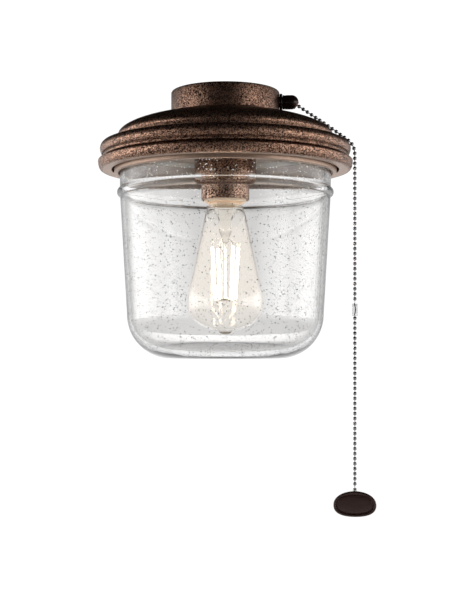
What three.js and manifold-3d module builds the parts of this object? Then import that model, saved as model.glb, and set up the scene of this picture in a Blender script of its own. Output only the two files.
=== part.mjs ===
// Light kit of a ceiling fan: a collar and a stepped pan carry a glass jar with one lamp inside, and a
// pull-chain switch in the collar works the lamp. Millimetres, +Z up. The origin is the centre of the
// mounting plate's top face, and the pull chain leaves towards +X.
import * as THREE from 'three';
import { mergeVertices } from 'three/addons/utils/BufferGeometryUtils.js';
import Module from 'manifold-3d';

const wasm = await Module();
wasm.setup();

// ---------- driving dimensions ----------
const GAP = 0.3; // clearance between touching pieces
const TURN = 36; // facets round the large turned pieces
const SMALL_TURN = 20; // facets round the small ones

const COLLAR_R = 45.7;
const COLLAR_WALL = 1.5;
const COLLAR_EDGE = 1.6; // rounding of the collar's top edge
const PLATE_R = 41.9;
const PLATE_T = 1.6;
const FLANGE_R = 38; // inner radius of the collar's flange, which the plate rests on

const PAN_TOP = -19.5; // flat land that the collar stands on
const PAN_WALL = 1.4;
const PAN_LAND_R = 46;
const DOME_END = { r: 90.3, z: -39.3 };
const DOME_PULL = { r: 94.2, z: -28.6 }; // where the dome's end tangents meet
const COVE_Z = -42.4;
const RING = { r: 100, z: -48.8, width: 5.4, height: 5.5 };
const GROOVE = { r: 98.2, z: -56.5 };
const TORUS = { r: 107.05, z: -59.2 };
const LIP = { outer: 104.3, outerZ: -66.4, inner: 95.6, innerZ: -66.5 };

const FITTER_TOP = -47;
const FITTER_WALL = 1.2;
const FITTER_R = 93.6;
const FITTER_BOTTOM = -69.4;
const HEM_R = 90.3; // inner radius of the hem that the jar's lugs rest on

const GASKET = { r: 87, bore: 83.5 };

const NECK_R = 88.85;
const JAR_WALL = 3.2;
const JAR_RIM_Z = -52.6;
const BEAD = { z: -85.2, half: 4, proud: 2.5 };
const JAR_CORNER = { r: 45.9, z: -187.5, radius: 37 };
const JAR_FLOOR = 5;
const LUG = { r: 91.8, top: -63.5, bottom: -67.9, width: 22, count: 3 };
const LUG_TURN = 30; // degrees from the lugs to the notches that let them out

const NIPPLE_R = 4.9;
const NIPPLE_BORE = 3.9;
const NIPPLE_HOLE = 5.3;
const CUP = { top: -48.5, wideR: 26, stepZ: -72.2, narrowR: 20.25, bottom: -91.2, wall: 1.2 };
const HOLDER = { r: 17.75, top: -58, bottom: -93.1, bore: 14.7, floorZ: -66.5 };

const BASE = { r: 13.1, skirtR: 14.25, top: -73.4, bottom: -96, wall: 0.6 };
const BULB = { neckR: 13.2, r: 32.1, wideZ: -179.6, bottomDrop: 24.2, wall: 0.8 };
const TIP = { r: 7.4, z: -206.8 }; // sealed exhaust tip under the bulb
const FILAMENT = { count: 4, r: 1.1, topR: 12.6, topZ: -131, bottomR: 9.8, bottomZ: -174 };
const FILAMENT_TURN = 35; // degrees from +X to the first filament

const CHAIN_R = 1.6;
const NOZZLE = { z: -9.2, r: 5.95, bore: 4.75, start: 48.4, ball: 55.8, faceAt: 4.6 };
const CHAIN_SLOPE = 34.5; // degrees down from level, where the chain leaves the nozzle
const DROP_X = 108.8; // the hanging chain's distance from the lamp's axis
const MOUTH = { x: 60.9, z: -12.0 };
const BEND_END_Z = -53.15; // where the chain's bend over the pan ends, straight down
const COUPLING = { top: -178.6, bottom: -188.8, r: 2.5 };
const FOB = { top: -335.8, bottom: -357.1, halfWidth: 17.9, halfThickness: 2.6, rim: 2.2 };

const SWITCH = { x0: 19, x1: 41.5, halfY: 8.5, z0: -19.1, z1: -3.9, wall: 1.4 };
const SPOOL = { x: 29, z: -14.0, r: 2.9, flangeR: 3.5, half: 3.4 };

// ---------- materials ----------
function material(color, roughness, metalness, opacity = 1) {
  return new THREE.MeshStandardMaterial({ color, roughness, metalness, opacity, transparent: opacity < 1 });
}
const weatheredCopper = () => material(0x6b4638, 0.6, 0.5);
const tanSteel = () => material(0x8d7766, 0.5, 0.4);
const darkBronze = () => material(0x24120f, 0.25, 0.7);
const zincSteel = () => material(0xa9abad, 0.35, 0.9);
const chainSteel = () => material(0x5c5a60, 0.3, 0.9);
const brass = () => material(0xc39a52, 0.35, 0.9);
const clearGlass = () => material(0xf2f4f4, 0.05, 0, 0.3);
const cream = () => material(0xe6cfae, 0.5, 0);
const blackPlastic = () => material(0x1b1b1c, 0.5, 0);
const whitePlastic = () => material(0xe8e8e4, 0.5, 0);
const greenPlastic = () => material(0x2f7a45, 0.5, 0);
const siliconeWhite = () => material(0xd9d9d4, 0.7, 0);
const glowingPhosphor = () => material(0xffd890, 0.6, 0);

// ---------- geometry helpers ----------
// Leaves only positions, merges shared vertices, drops flat triangles and turns the faces outwards.
function clean(source) {
  const loose = source.clone();
  loose.deleteAttribute('normal');
  loose.deleteAttribute('uv');
  const merged = mergeVertices(loose, 1e-4);
  const position = merged.attributes.position;
  const kept = [];
  let volume = 0;
  const a = new THREE.Vector3();
  const b = new THREE.Vector3();
  const c = new THREE.Vector3();
  const index = merged.index.array;
  for (let i = 0; i < index.length; i += 3) {
    const [p, q, r] = [index[i], index[i + 1], index[i + 2]];
    if (p === q || q === r || r === p) continue;
    kept.push(p, q, r);
    a.fromBufferAttribute(position, p);
    b.fromBufferAttribute(position, q);
    c.fromBufferAttribute(position, r);
    volume += a.dot(b.cross(c));
  }
  if (volume < 0) kept.reverse();
  merged.setIndex(kept);
  return merged;
}

function toManifold(geometry) {
  const solid = clean(geometry);
  const vertProperties = new Float32Array(solid.attributes.position.array);
  const triVerts = new Uint32Array(solid.index.array);
  return new wasm.Manifold(new wasm.Mesh({ numProp: 3, vertProperties, triVerts }));
}

function fromManifold(manifold) {
  const { vertProperties, triVerts } = manifold.getMesh();
  const geometry = new THREE.BufferGeometry();
  geometry.setAttribute('position', new THREE.BufferAttribute(vertProperties, 3));
  geometry.setIndex(new THREE.BufferAttribute(triVerts, 1));
  return geometry;
}

function cut(body, ...tools) {
  return fromManifold(tools.reduce((left, tool) => left.subtract(toManifold(tool)), toManifold(body)));
}

function join(body, ...others) {
  return fromManifold(others.reduce((left, other) => left.add(toManifold(other)), toManifold(body)));
}

function overlap(body, other) {
  return fromManifold(toManifold(body).intersect(toManifold(other)));
}

// Turns a closed profile of [radius, z] points about the Z axis.
function turned(profile, facets = SMALL_TURN) {
  const points = profile.map(([r, z]) => new THREE.Vector2(r, z));
  if (points[0].x > 0 || points.at(-1).x > 0) points.push(points[0].clone());
  return clean(new THREE.LatheGeometry(points, facets).rotateX(Math.PI / 2));
}

function rod(r, z0, z1, facets = SMALL_TURN) {
  return turned([[0, z0], [r, z0], [r, z1], [0, z1]], facets);
}

function pipe(r, bore, z0, z1, facets = SMALL_TURN) {
  return turned([[bore, z0], [r, z0], [r, z1], [bore, z1]], facets);
}

function box(x0, x1, y0, y1, z0, z1) {
  const geometry = new THREE.BoxGeometry(x1 - x0, y1 - y0, z1 - z0);
  return geometry.translate((x0 + x1) / 2, (y0 + y1) / 2, (z0 + z1) / 2);
}

function alongX(geometry, z) {
  return geometry.rotateY(Math.PI / 2).translate(0, 0, z);
}

function alongY(geometry, x, z) {
  return geometry.rotateX(-Math.PI / 2).translate(x, 0, z);
}

// Points of an ellipse's arc, from one angle to another, in degrees.
function arc(r, z, width, height, from, to, steps) {
  return Array.from({ length: steps + 1 }, (_, i) => {
    const angle = THREE.MathUtils.degToRad(from + ((to - from) * i) / steps);
    return [r + width * Math.cos(angle), z + height * Math.sin(angle)];
  });
}

// The same profile moved inwards by a wall's thickness, without the points that would cross and with
// every second one of the rest, because the hidden side can be coarser.
function inset(profile, wall) {
  const outline = profile.map(([r, z]) => new THREE.Vector2(r, z));
  const nearest = (point) => {
    let best = Infinity;
    for (let i = 0; i + 1 < outline.length; i += 1) {
      const along = outline[i + 1].clone().sub(outline[i]);
      const t = THREE.MathUtils.clamp(point.clone().sub(outline[i]).dot(along) / along.lengthSq(), 0, 1);
      best = Math.min(best, outline[i].clone().addScaledVector(along, t).distanceTo(point));
    }
    return best;
  };
  const moved = outline.map((point, i) => {
    const before = outline[Math.max(i - 1, 0)];
    const after = outline[Math.min(i + 1, outline.length - 1)];
    const along = after.clone().sub(before).normalize();
    return point.clone().add(new THREE.Vector2(along.y, -along.x).multiplyScalar(wall));
  });
  const clear = moved.filter((point) => nearest(point) > wall * 0.93);
  const isKept = (_, i) => i % 2 === 1 || i === 0 || i === clear.length - 1;
  return clear.filter(isKept).map((point) => [point.x, point.y]);
}

// A tube of even section along a curve.
function tube(points, r, sides, steps) {
  const knots = points.map(([x, y, z]) => new THREE.Vector3(x, y, z));
  return swept(new THREE.CatmullRomCurve3(knots, false, 'centripetal'), r, sides, steps);
}

function swept(path, r, sides, steps) {
  const section = new THREE.Shape(
    Array.from({ length: sides }, (_, i) => {
      const angle = (2 * Math.PI * i) / sides;
      return new THREE.Vector2(r * Math.cos(angle), r * Math.sin(angle));
    }),
  );
  return clean(new THREE.ExtrudeGeometry(section, { steps, extrudePath: path, curveSegments: 1 }));
}

function hexNut(flats, bore, z0, z1) {
  const corner = flats / 2 / Math.cos(Math.PI / 6);
  return cut(rod(corner, z0, z1, 6), rod(bore, z0 - 1, z1 + 1, 16));
}

const object = new THREE.Group();
object.name = 'fan_light_kit';

function add(name, geometry, look) {
  const mesh = new THREE.Mesh(geometry, look);
  mesh.name = name;
  object.add(mesh);
  return mesh;
}

function polar(radius, degrees) {
  const angle = THREE.MathUtils.degToRad(degrees);
  return [radius * Math.cos(angle), radius * Math.sin(angle)];
}

// ---------- mounting plate and collar ----------
const PLATE_SCREW = { r: 2, headR: 3.8, headDepth: 1.8, drive: 2.6, below: 5 };
const PLATE_SCREWS = [30, 150, 270].map((degrees) => polar(34.6, degrees));
const GROUND_SCREW = [-12, 25.5];
const SCREW_HOLE_R = 2.4; // in the pan, for the plate's screws and the ground screw
const KEYHOLE = { circle: 31, entryR: 4.2, slotHalf: 2.2, slotEnd: 8 };
const KEYHOLES = [60, 180, 300];
const WIRE_HOLE = { x: -15, r: 6, bore: 4.4 };

function keyhole(degrees) {
  const { circle, entryR, slotHalf, slotEnd } = KEYHOLE;
  const entry = rod(entryR, -PLATE_T - 1, 1, 16).translate(circle, 0, 0);
  const slot = box(circle - slotHalf, circle + slotHalf, 0, slotEnd, -PLATE_T - 1, 1);
  return join(entry, slot).rotateZ(THREE.MathUtils.degToRad(degrees));
}

function addCollar() {
  const wireHole = rod(WIRE_HOLE.r, -PLATE_T - 1, 1).translate(WIRE_HOLE.x, 0, 0);
  const screwHoles = PLATE_SCREWS.map(([x, y]) =>
    turned([[0, -3], [2.9, -3], [2.9, -PLATE_T], [4.8, 0.3], [4.8, 1], [0, 1]], 16).translate(x, y, 0));
  const disc = rod(PLATE_R, -PLATE_T, 0, TURN);
  add('mounting_plate', cut(disc, wireHole, ...screwHoles, ...KEYHOLES.map(keyhole)), zincSteel());

  const bottom = PAN_TOP + GAP;
  const ledge = -PLATE_T - GAP;
  const wall = turned([
    [COLLAR_R - COLLAR_WALL, bottom],
    [COLLAR_R, bottom],
    ...arc(COLLAR_R - COLLAR_EDGE, -COLLAR_EDGE, COLLAR_EDGE, COLLAR_EDGE, 0, 90, 4),
    [PLATE_R + GAP, 0],
    [PLATE_R + GAP, ledge],
    [FLANGE_R, ledge],
    [FLANGE_R, ledge - COLLAR_WALL],
    [COLLAR_R - COLLAR_WALL, ledge - COLLAR_WALL],
  ], TURN);
  const bushingHole = alongX(rod(5.2, 40, 50), NOZZLE.z);
  const screwSlots = PLATE_SCREWS.map(([x, y]) => rod(2.8, -5, -1, 16).translate(x, y, 0));
  add('collar', cut(wall, bushingHole, ...screwSlots), weatheredCopper());

  const grommet = turned([
    [WIRE_HOLE.bore, -3.2], [WIRE_HOLE.r + 0.9, -3.2], [WIRE_HOLE.r + 0.9, -PLATE_T - GAP],
    [WIRE_HOLE.r - GAP, -PLATE_T - GAP], [WIRE_HOLE.r - GAP, -0.3], [WIRE_HOLE.bore, -0.3],
  ]);
  add('wire_grommet', grommet.translate(WIRE_HOLE.x, 0, 0), blackPlastic());

  const underPan = PAN_TOP - PAN_WALL - GAP;
  const { r, headR, headDepth, drive: half, below } = PLATE_SCREW;
  PLATE_SCREWS.forEach(([x, y], i) => {
    const end = underPan - below;
    const shank = [[0, end], [r, end], [r, -GAP - headDepth], [headR, -GAP], [0, -GAP]];
    const drive = box(-half, half, -0.4, 0.4, -1.1, 0.5);
    add(`plate_screw_${i + 1}`, cut(turned(shank, 16), drive).translate(x, y, 0), zincSteel());
    add(`plate_nut_${i + 1}`, hexNut(7, 2.3, underPan - 3.2, underPan).translate(x, y, 0), zincSteel());
  });
}

// ---------- stepped pan and the fitter that holds the jar ----------
function panOutline() {
  const dome = new THREE.QuadraticBezierCurve(
    new THREE.Vector2(PAN_LAND_R, PAN_TOP),
    new THREE.Vector2(DOME_PULL.r, DOME_PULL.z),
    new THREE.Vector2(DOME_END.r, DOME_END.z),
  ).getPoints(6).map((p) => [p.x, p.y]);
  return [
    [NIPPLE_HOLE, PAN_TOP],
    ...dome,
    [DOME_END.r + 0.2, COVE_Z],
    [RING.r - 5, COVE_Z - 0.6],
    ...arc(RING.r, RING.z, RING.width, RING.height, 105, 0, 4),
    ...arc(GROOVE.r, RING.z, RING.r + RING.width - GROOVE.r, RING.z - GROOVE.z, -22, -72, 2),
    ...arc(GROOVE.r, TORUS.z, TORUS.r - GROOVE.r, GROOVE.z + 0.2 - TORUS.z, 60, 0, 2),
    ...arc(LIP.outer, TORUS.z, TORUS.r - LIP.outer, TORUS.z - LIP.outerZ, -30, -90, 3),
    [LIP.inner, LIP.innerZ],
  ];
}

function addPan() {
  const outline = panOutline();
  const inside = inset(outline, PAN_WALL);
  const holes = [...PLATE_SCREWS, GROUND_SCREW].map(([x, y]) =>
    rod(SCREW_HOLE_R, PAN_TOP - 5, PAN_TOP + 5, 16).translate(x, y, 0));
  add('lid_pan', cut(turned([...outline, ...inside.reverse()], TURN), ...holes), weatheredCopper());

  const t = FITTER_WALL;
  const bowl = turned([
    [NIPPLE_HOLE, FITTER_TOP],
    [NIPPLE_HOLE, FITTER_TOP - t],
    [87, FITTER_TOP - t],
    [FITTER_R - t, FITTER_TOP - 6],
    [FITTER_R - t, FITTER_BOTTOM + t],
    [HEM_R, FITTER_BOTTOM + t],
    [HEM_R, FITTER_BOTTOM + 0.3],
    [HEM_R + 0.4, FITTER_BOTTOM],
    [FITTER_R - 0.6, FITTER_BOTTOM],
    [FITTER_R, FITTER_BOTTOM + 0.7],
    [FITTER_R, FITTER_TOP - 5],
    [87.6, FITTER_TOP],
  ], TURN);
  const notchHalf = LUG.width / 2 + 2;
  const notches = Array.from({ length: LUG.count }, (_, i) => {
    const end = FITTER_R - t - 0.2;
    const notch = box(84, end, -notchHalf, notchHalf, FITTER_BOTTOM - 1, FITTER_BOTTOM + t + 0.2);
    return notch.rotateZ(THREE.MathUtils.degToRad(i * 120 + 90 + LUG_TURN));
  });
  add('fitter_pan', cut(bowl, ...notches), tanSteel());

  const gasket = pipe(GASKET.r, GASKET.bore, JAR_RIM_Z + GAP, FITTER_TOP - t - GAP, TURN);
  add('jar_gasket', gasket, siliconeWhite());
}

// ---------- glass jar ----------
function addJar() {
  const neckEnd = BEAD.z + BEAD.half;
  const bodyTop = BEAD.z - BEAD.half;
  const corner = JAR_CORNER;
  const outside = [
    [0, corner.z - corner.radius],
    ...arc(corner.r, corner.z, corner.radius, corner.radius, -90, 0, 7),
    [NECK_R - 0.25, bodyTop],
    ...arc(NECK_R - 0.1, BEAD.z, BEAD.proud, BEAD.half - 0.8, -70, 70, 4),
    [NECK_R, neckEnd],
    ...arc(NECK_R - 1.2, JAR_RIM_Z - 1.2, 1.2, 1.2, 0, 90, 2),
  ];
  const innerRadius = corner.radius - JAR_WALL - 0.6;
  const inside = [
    [NECK_R - JAR_WALL, JAR_RIM_Z],
    [NECK_R - JAR_WALL, neckEnd],
    [NECK_R - JAR_WALL + 1, BEAD.z],
    [NECK_R - JAR_WALL - 0.3, bodyTop],
    ...arc(corner.r, corner.z, corner.radius - JAR_WALL, innerRadius, 0, -90, 5).map(([r, z]) =>
      [r, Math.max(z, corner.z - corner.radius + JAR_FLOOR)]),
    [0, corner.z - corner.radius + JAR_FLOOR],
  ];
  const band = pipe(LUG.r, NECK_R - 1.5, LUG.bottom, LUG.top, TURN);
  const lugs = Array.from({ length: LUG.count }, (_, i) =>
    overlap(band, box(80, 95, -LUG.width / 2, LUG.width / 2, LUG.bottom - 1, LUG.top + 1)
      .rotateZ(THREE.MathUtils.degToRad(i * 120 + 90))));
  add('glass_jar', join(turned([...outside, ...inside], TURN), ...lugs), clearGlass());
}

// ---------- nipple, socket cup and lampholder ----------
function addLampholder() {
  add('threaded_nipple', pipe(NIPPLE_R, NIPPLE_BORE, -62.4, -12.5), brass());
  add('upper_nut', hexNut(14, NIPPLE_R + GAP, PAN_TOP + GAP, PAN_TOP + 4.5), zincSteel());
  add('spacer_tube', pipe(8, NIPPLE_R + GAP, FITTER_TOP + GAP, PAN_TOP - PAN_WALL - GAP), zincSteel());

  const { top, wideR, stepZ, narrowR, bottom, wall } = CUP;
  add('socket_cup', turned([
    [NIPPLE_HOLE, top],
    [NIPPLE_HOLE, top - wall],
    [wideR - 2.2, top - wall],
    [wideR - wall, top - 2.2],
    [wideR - wall, stepZ + wall],
    [narrowR - wall, stepZ + wall],
    [narrowR - wall, bottom],
    [narrowR, bottom],
    [narrowR, stepZ],
    [wideR - 0.6, stepZ],
    [wideR, stepZ + 0.6],
    [wideR, top - 1.6],
    [wideR - 1.6, top],
  ], 24), weatheredCopper());
  add('lock_washer', pipe(8.5, NIPPLE_R + GAP, top - wall - 1.3, top - wall - GAP), zincSteel());
  add('lower_nut', hexNut(14, NIPPLE_R + GAP, top - wall - 6.3, top - wall - 1.6), zincSteel());

  const h = HOLDER;
  add('lampholder', turned([
    [0, h.floorZ],
    [h.bore, h.floorZ],
    [h.bore, h.bottom + 0.6],
    [h.bore + 0.6, h.bottom],
    [h.r - 0.5, h.bottom],
    [h.r, h.bottom + 0.6],
    [h.r, h.bottom + 3.2],
    [h.r - 0.5, h.bottom + 3.6],
    [h.r - 0.5, h.top - 1],
    [h.r - 1.5, h.top],
    [NIPPLE_HOLE, h.top],
    [NIPPLE_HOLE, -63],
    [0, -63],
  ], 24), cream());
  add('screw_shell', pipe(h.bore - GAP, h.bore - 0.8, h.bottom + 3, h.floorZ - GAP, 24), brass());
  add('centre_contact', box(-6, 2.5, -2.2, 2.2, h.floorZ - 1.3, h.floorZ - GAP), brass());
}

// ---------- lamp ----------
function addBulb() {
  const { r, skirtR, top, bottom, wall } = BASE;
  const threads = 4;
  const pitch = 4.2;
  const crests = Array.from({ length: threads }, (_, i) => {
    const z = bottom + 4.2 + i * pitch;
    return [[r - 0.9, z], [r, z + pitch / 2]];
  }).flat();
  add('bulb_base', turned([
    [skirtR - wall, bottom],
    [skirtR, bottom],
    [skirtR - 0.3, bottom + 2],
    ...crests,
    [r - 0.9, top - 1],
    [r - 2, top],
    [r - 2.6, top],
    [r - 1.6, top - 1.2],
    [r - 1.6, bottom + 3.4],
    [skirtR - wall, bottom + 2],
  ]), brass());
  add('base_insulator', turned([
    [0, top - 1.6], [r - 2.9, top - 1.6], [r - 2.9, top + 0.4], [5, top + 2.4], [0, top + 2.4],
  ]), blackPlastic());
  const contact = turned([[0, top + 2.7], [4.2, top + 2.7], [3.6, top + 4.4], [0, top + 5]]);
  add('base_contact', contact, zincSteel());

  const shoulder = new THREE.SplineCurve([
    new THREE.Vector2(BULB.r, BULB.wideZ),
    new THREE.Vector2(31.1, -168),
    new THREE.Vector2(27, -150),
    new THREE.Vector2(21.5, -124.6),
    new THREE.Vector2(17.6, -105.5),
    new THREE.Vector2(14.9, BASE.bottom - GAP - 0.2),
  ]).getPoints(6).map((p) => [p.x, p.y]);
  const bowl = arc(0, BULB.wideZ, BULB.r, BULB.bottomDrop, -72, -10, 4);
  const outside = [[0, TIP.z], [5, TIP.z], [TIP.r, TIP.z + 2], ...bowl, ...shoulder];
  const w = BULB.wall;
  const inside = [...bowl, ...shoulder].map(([radius, z]) => {
    const raised = z < BULB.wideZ ? w * 0.6 : 0;
    return [radius - w, z + raised];
  });
  const neckTop = BASE.bottom + 10.4;
  add('bulb_glass', turned([
    ...outside,
    [BULB.neckR, BASE.bottom - GAP],
    [BULB.neckR, BASE.bottom + 1.2],
    [BULB.neckR - 2.1, BASE.bottom + 2.7],
    [BULB.neckR - 2.1, neckTop],
    [BULB.neckR - 2.9, neckTop],
    [BULB.neckR - 2.9, BASE.bottom + 2.3],
    ...inside.reverse(),
    [0, inside.at(-1)[1] - 1.5],
  ], SMALL_TURN), clearGlass());

  add('bulb_stem', turned([
    [0, -128], [2.2, -127], [3.4, -122], [5.6, -117], [5.6, -108], [9, -100], [9, -88], [8, -88],
    [8, -99], [4.6, -107], [4.2, -115], [0, -118],
  ], 16), clearGlass());

  for (let i = 0; i < FILAMENT.count; i += 1) {
    const degrees = FILAMENT_TURN + (360 / FILAMENT.count) * i;
    const [x0, y0] = polar(FILAMENT.topR, degrees);
    const [x1, y1] = polar(FILAMENT.bottomR, degrees);
    const line = new THREE.LineCurve3(
      new THREE.Vector3(x0, y0, FILAMENT.topZ),
      new THREE.Vector3(x1, y1, FILAMENT.bottomZ),
    );
    add(`filament_${i + 1}`, swept(line, FILAMENT.r, 8, 1), glowingPhosphor());
    const [sx, sy] = polar(3.6, degrees);
    const wire = tube([
      [x0, y0, FILAMENT.topZ + 0.3],
      [x0 * 0.9, y0 * 0.9, -127.5],
      [sx * 1.4, sy * 1.4, -124.5],
      [sx, sy, -124],
    ], 0.35, 6, 5);
    add(`filament_wire_${i + 1}`, wire, zincSteel());
  }
  add('filament_foot', join(
    turned([[0, -176.2], [10.9, -176.2], [10.9, -174.6], [0, -174.6]], 16),
    rod(0.8, -175, -128.4, 8),
  ), zincSteel());
}

// ---------- pull-chain switch ----------
function addSwitch() {
  const s = SWITCH;
  const w = s.wall;
  const shell = box(s.x0, s.x1, -s.halfY, s.halfY, s.z0, s.z1);
  const hollow = box(s.x0 + w, s.x1 - w, -s.halfY - 1, s.halfY - w, s.z0 + w, s.z1 - w);
  const chainHole = alongX(rod(2.4, s.x1 - 3, s.x1 + 2, 16), NOZZLE.z);
  add('switch_case', cut(shell, hollow, chainHole), blackPlastic());
  add('switch_cover', box(s.x0, s.x1, -s.halfY - 1.5, -s.halfY - GAP, s.z0, s.z1), blackPlastic());

  const pin = rod(1, -s.halfY + GAP, s.halfY - w - GAP, 12);
  add('spool_pin', alongY(pin, SPOOL.x, SPOOL.z), zincSteel());
  const { r, flangeR, half } = SPOOL;
  const spool = turned([
    [1.2, -half], [flangeR, -half], [flangeR, -half + 1], [r, -half + 1], [r, half - 1], [flangeR, half - 1],
    [flangeR, half], [1.2, half],
  ]);
  add('ratchet_spool', alongY(spool, SPOOL.x, SPOOL.z), brass());

  const turns = 2.5;
  const springPoints = Array.from({ length: 26 }, (_, i) => {
    const angle = (i / 25) * turns * 2 * Math.PI;
    return [SPOOL.x + 2.9 * Math.cos(angle), 3.9 + (i / 25) * 2.4, SPOOL.z + 2.9 * Math.sin(angle)];
  });
  add('return_spring', tube(springPoints, 0.35, 5, 26), zincSteel());
  add('contact_blade_1', box(s.x0 + w + GAP, s.x0 + w + 0.9, -6, 5, -16, -6), brass());
  add('contact_blade_2', box(s.x1 - w - 0.9, s.x1 - w - GAP, -6, 5, -16.4, -11.2), brass());

  const bushing = pipe(4.5, 2.7, s.x1 + GAP, 53.4);
  add('switch_bushing', alongX(bushing, NOZZLE.z), zincSteel());
  const washer = turned([[4.8, 46.0], [6.8, 46.0], [7.2, 46.4], [7.2, 47.5], [6.8, 48.1], [4.8, 48.1]]);
  add('ring_nut', alongX(washer, NOZZLE.z), darkBronze());
  add('chain_nozzle', nozzle(), darkBronze());
  add('chain_tail', alongX(rod(CHAIN_R, SPOOL.x + 0.5, 44, 8), NOZZLE.z), chainSteel());
}

// A barrel with a ball end, cut square to the chain's slope, with a raised ring round the mouth.
function nozzle() {
  const { r, bore, start, ball, faceAt } = NOZZLE;
  const outer = turned([
    [0, start], [r - 0.5, start], [r, start + 0.5], [r, start + 1.6], [r - 0.35, start + 2], [r, start + 2.4],
    ...arc(0, ball, r, r, 0, 90, 5),
  ], 20);
  const inner = turned([[0, start - 1], [bore, start - 1], ...arc(0, ball, bore, bore, 0, 90, 4)], 16);
  const slope = THREE.MathUtils.degToRad(CHAIN_SLOPE);
  const alongSlope = (geometry) => geometry.rotateY(Math.PI / 2 + slope);
  const face = alongSlope(rod(12, faceAt, faceAt + 12, 8)).translate(ball, 0, NOZZLE.z);
  const lip = alongSlope(pipe(3.5, 2.2, faceAt - 1, faceAt + 0.7, 20)).translate(ball, 0, NOZZLE.z);
  const mouth = alongSlope(rod(2.45, -9, 6)).translate(MOUTH.x, 0, MOUTH.z);
  const closed = join(cut(alongX(outer, NOZZLE.z), face), lip);
  return cut(closed, alongX(inner, NOZZLE.z), mouth);
}

// ---------- pull chain: the route of its centre line, in the plane Y = 0 ----------
const LEAD_ROUTE = [
  [54.5, 0, -7.6],
  [MOUTH.x, 0, MOUTH.z],
  [68, 0, -16.87],
  [76, 0, -22.36],
  [84, 0, -27.85],
  [92, 0, -33.45],
  [98, 0, -37.92],
  [103.25, 0, -41.85],
  [105.65, 0, -44.15],
  [107.35, 0, -46.8],
  [108.5, 0, -50.0],
  [DROP_X, 0, BEND_END_Z],
];

function addChain() {
  add('chain_lead', tube(LEAD_ROUTE, CHAIN_R, 8, 22), chainSteel());
  const hanging = (z0, z1) => rod(CHAIN_R, z0, z1, 8).translate(DROP_X, 0, 0);
  add('chain_drop_upper', hanging(COUPLING.top + GAP, BEND_END_Z - GAP), chainSteel());
  add('chain_coupling', turned([
    [0, COUPLING.bottom], [COUPLING.r - 0.5, COUPLING.bottom], [COUPLING.r, COUPLING.bottom + 0.6],
    [COUPLING.r, COUPLING.top - 0.6], [COUPLING.r - 0.5, COUPLING.top], [0, COUPLING.top],
  ], 16).translate(DROP_X, 0, 0), clearGlass());
  add('chain_drop_lower', hanging(FOB.top + 2.9, COUPLING.bottom - GAP), chainSteel());
}

// Oval medallion, flatter below, with a raised rim on both faces.
function fobOutline(margin) {
  const shape = new THREE.Shape();
  const side = FOB.halfWidth - margin;
  const top = FOB.top - margin;
  const bottom = FOB.bottom + margin;
  const waist = FOB.bottom + 9.8;
  shape.moveTo(0, top);
  shape.bezierCurveTo(-side * 0.56, top, -side, waist + 6.6, -side, waist);
  shape.bezierCurveTo(-side, bottom + 3.4, -side * 0.68, bottom, 0, bottom);
  shape.bezierCurveTo(side * 0.68, bottom, side, bottom + 3.4, side, waist);
  shape.bezierCurveTo(side, waist + 6.6, side * 0.56, top, 0, top);
  return shape;
}

function slab(shape, y0, y1) {
  const options = { depth: y1 - y0, bevelEnabled: false, curveSegments: 9 };
  const geometry = new THREE.ExtrudeGeometry(shape, options);
  return geometry.rotateX(Math.PI / 2).translate(0, y1, 0);
}

function addFob() {
  const { halfThickness, rim } = FOB;
  const body = slab(fobOutline(0), -halfThickness, halfThickness);
  const floor = halfThickness - 0.8;
  const front = slab(fobOutline(rim), -halfThickness - 1, -floor);
  const back = slab(fobOutline(rim), floor, halfThickness + 1);
  add('fob', cut(body, front, back).translate(DROP_X, 0, 0), darkBronze());
  add('fob_ferrule', turned([
    [0, FOB.top + GAP], [1.5, FOB.top + GAP], [1.9, FOB.top + 0.9], [1.3, FOB.top + 2.6], [0, FOB.top + 2.6],
  ], 12).translate(DROP_X, 0, 0), zincSteel());
}

// ---------- internal wiring ----------
function addWiring() {
  add('supply_connector', box(-37, -24, -20, -10, -17.5, -8.5), whitePlastic());
  const lead = (points, steps) => tube(points, 1.1, 8, steps);
  add('white_lead', lead([
    [-23.6, -17.5, -12], [-18, -17.5, -12], [-10, -12, -11.5], [-3, -4, -8.6],
    [-1.6, 0, -10.5], [-1.6, 0, -18], [-1.6, 0, -40], [-1.6, 0, -61.5],
  ], 20), whitePlastic());
  add('black_lead', lead([
    [-23.6, -12.8, -15.4], [-16, -12.8, -16], [-4, -14, -16.5],
    [8, -9, -14.5], [14, -5.2, -12.2], [18.3, -5, -12],
  ], 12), blackPlastic());
  add('switched_lead', lead([
    [18.3, 5, -12], [14, 5, -11.8], [8, 3.5, -8.6], [3, 1, -7.8], [1.6, 0, -10.5], [1.6, 0, -18],
    [1.6, 0, -40], [1.6, 0, -61.5],
  ], 20), blackPlastic());
  add('ground_lead', lead([
    [-23.4, -11.5, -10.2], [-20, -10, -10.3], [-17, 4, -12.5], [-14.5, 14, -15], [-13, 20.5, -16],
  ], 10), greenPlastic());
  const screw = turned([
    [0, -23.5], [1.9, -23.5], [1.9, PAN_TOP + GAP], [3.6, PAN_TOP + GAP],
    [3.6, -17.9], [2.6, -17.4], [0, -17.4],
  ], 16);
  add('ground_screw', screw.translate(...GROUND_SCREW, 0), greenPlastic());
}

addCollar();
addPan();
addJar();
addLampholder();
addBulb();
addSwitch();
addChain();
addFob();
addWiring();

export default object;
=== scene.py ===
"""Looks of a ceiling fan's light kit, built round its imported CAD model. The chain is towards +X."""

import math
import random

import bmesh
import bpy
from mathutils import Matrix, Vector, noise


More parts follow.
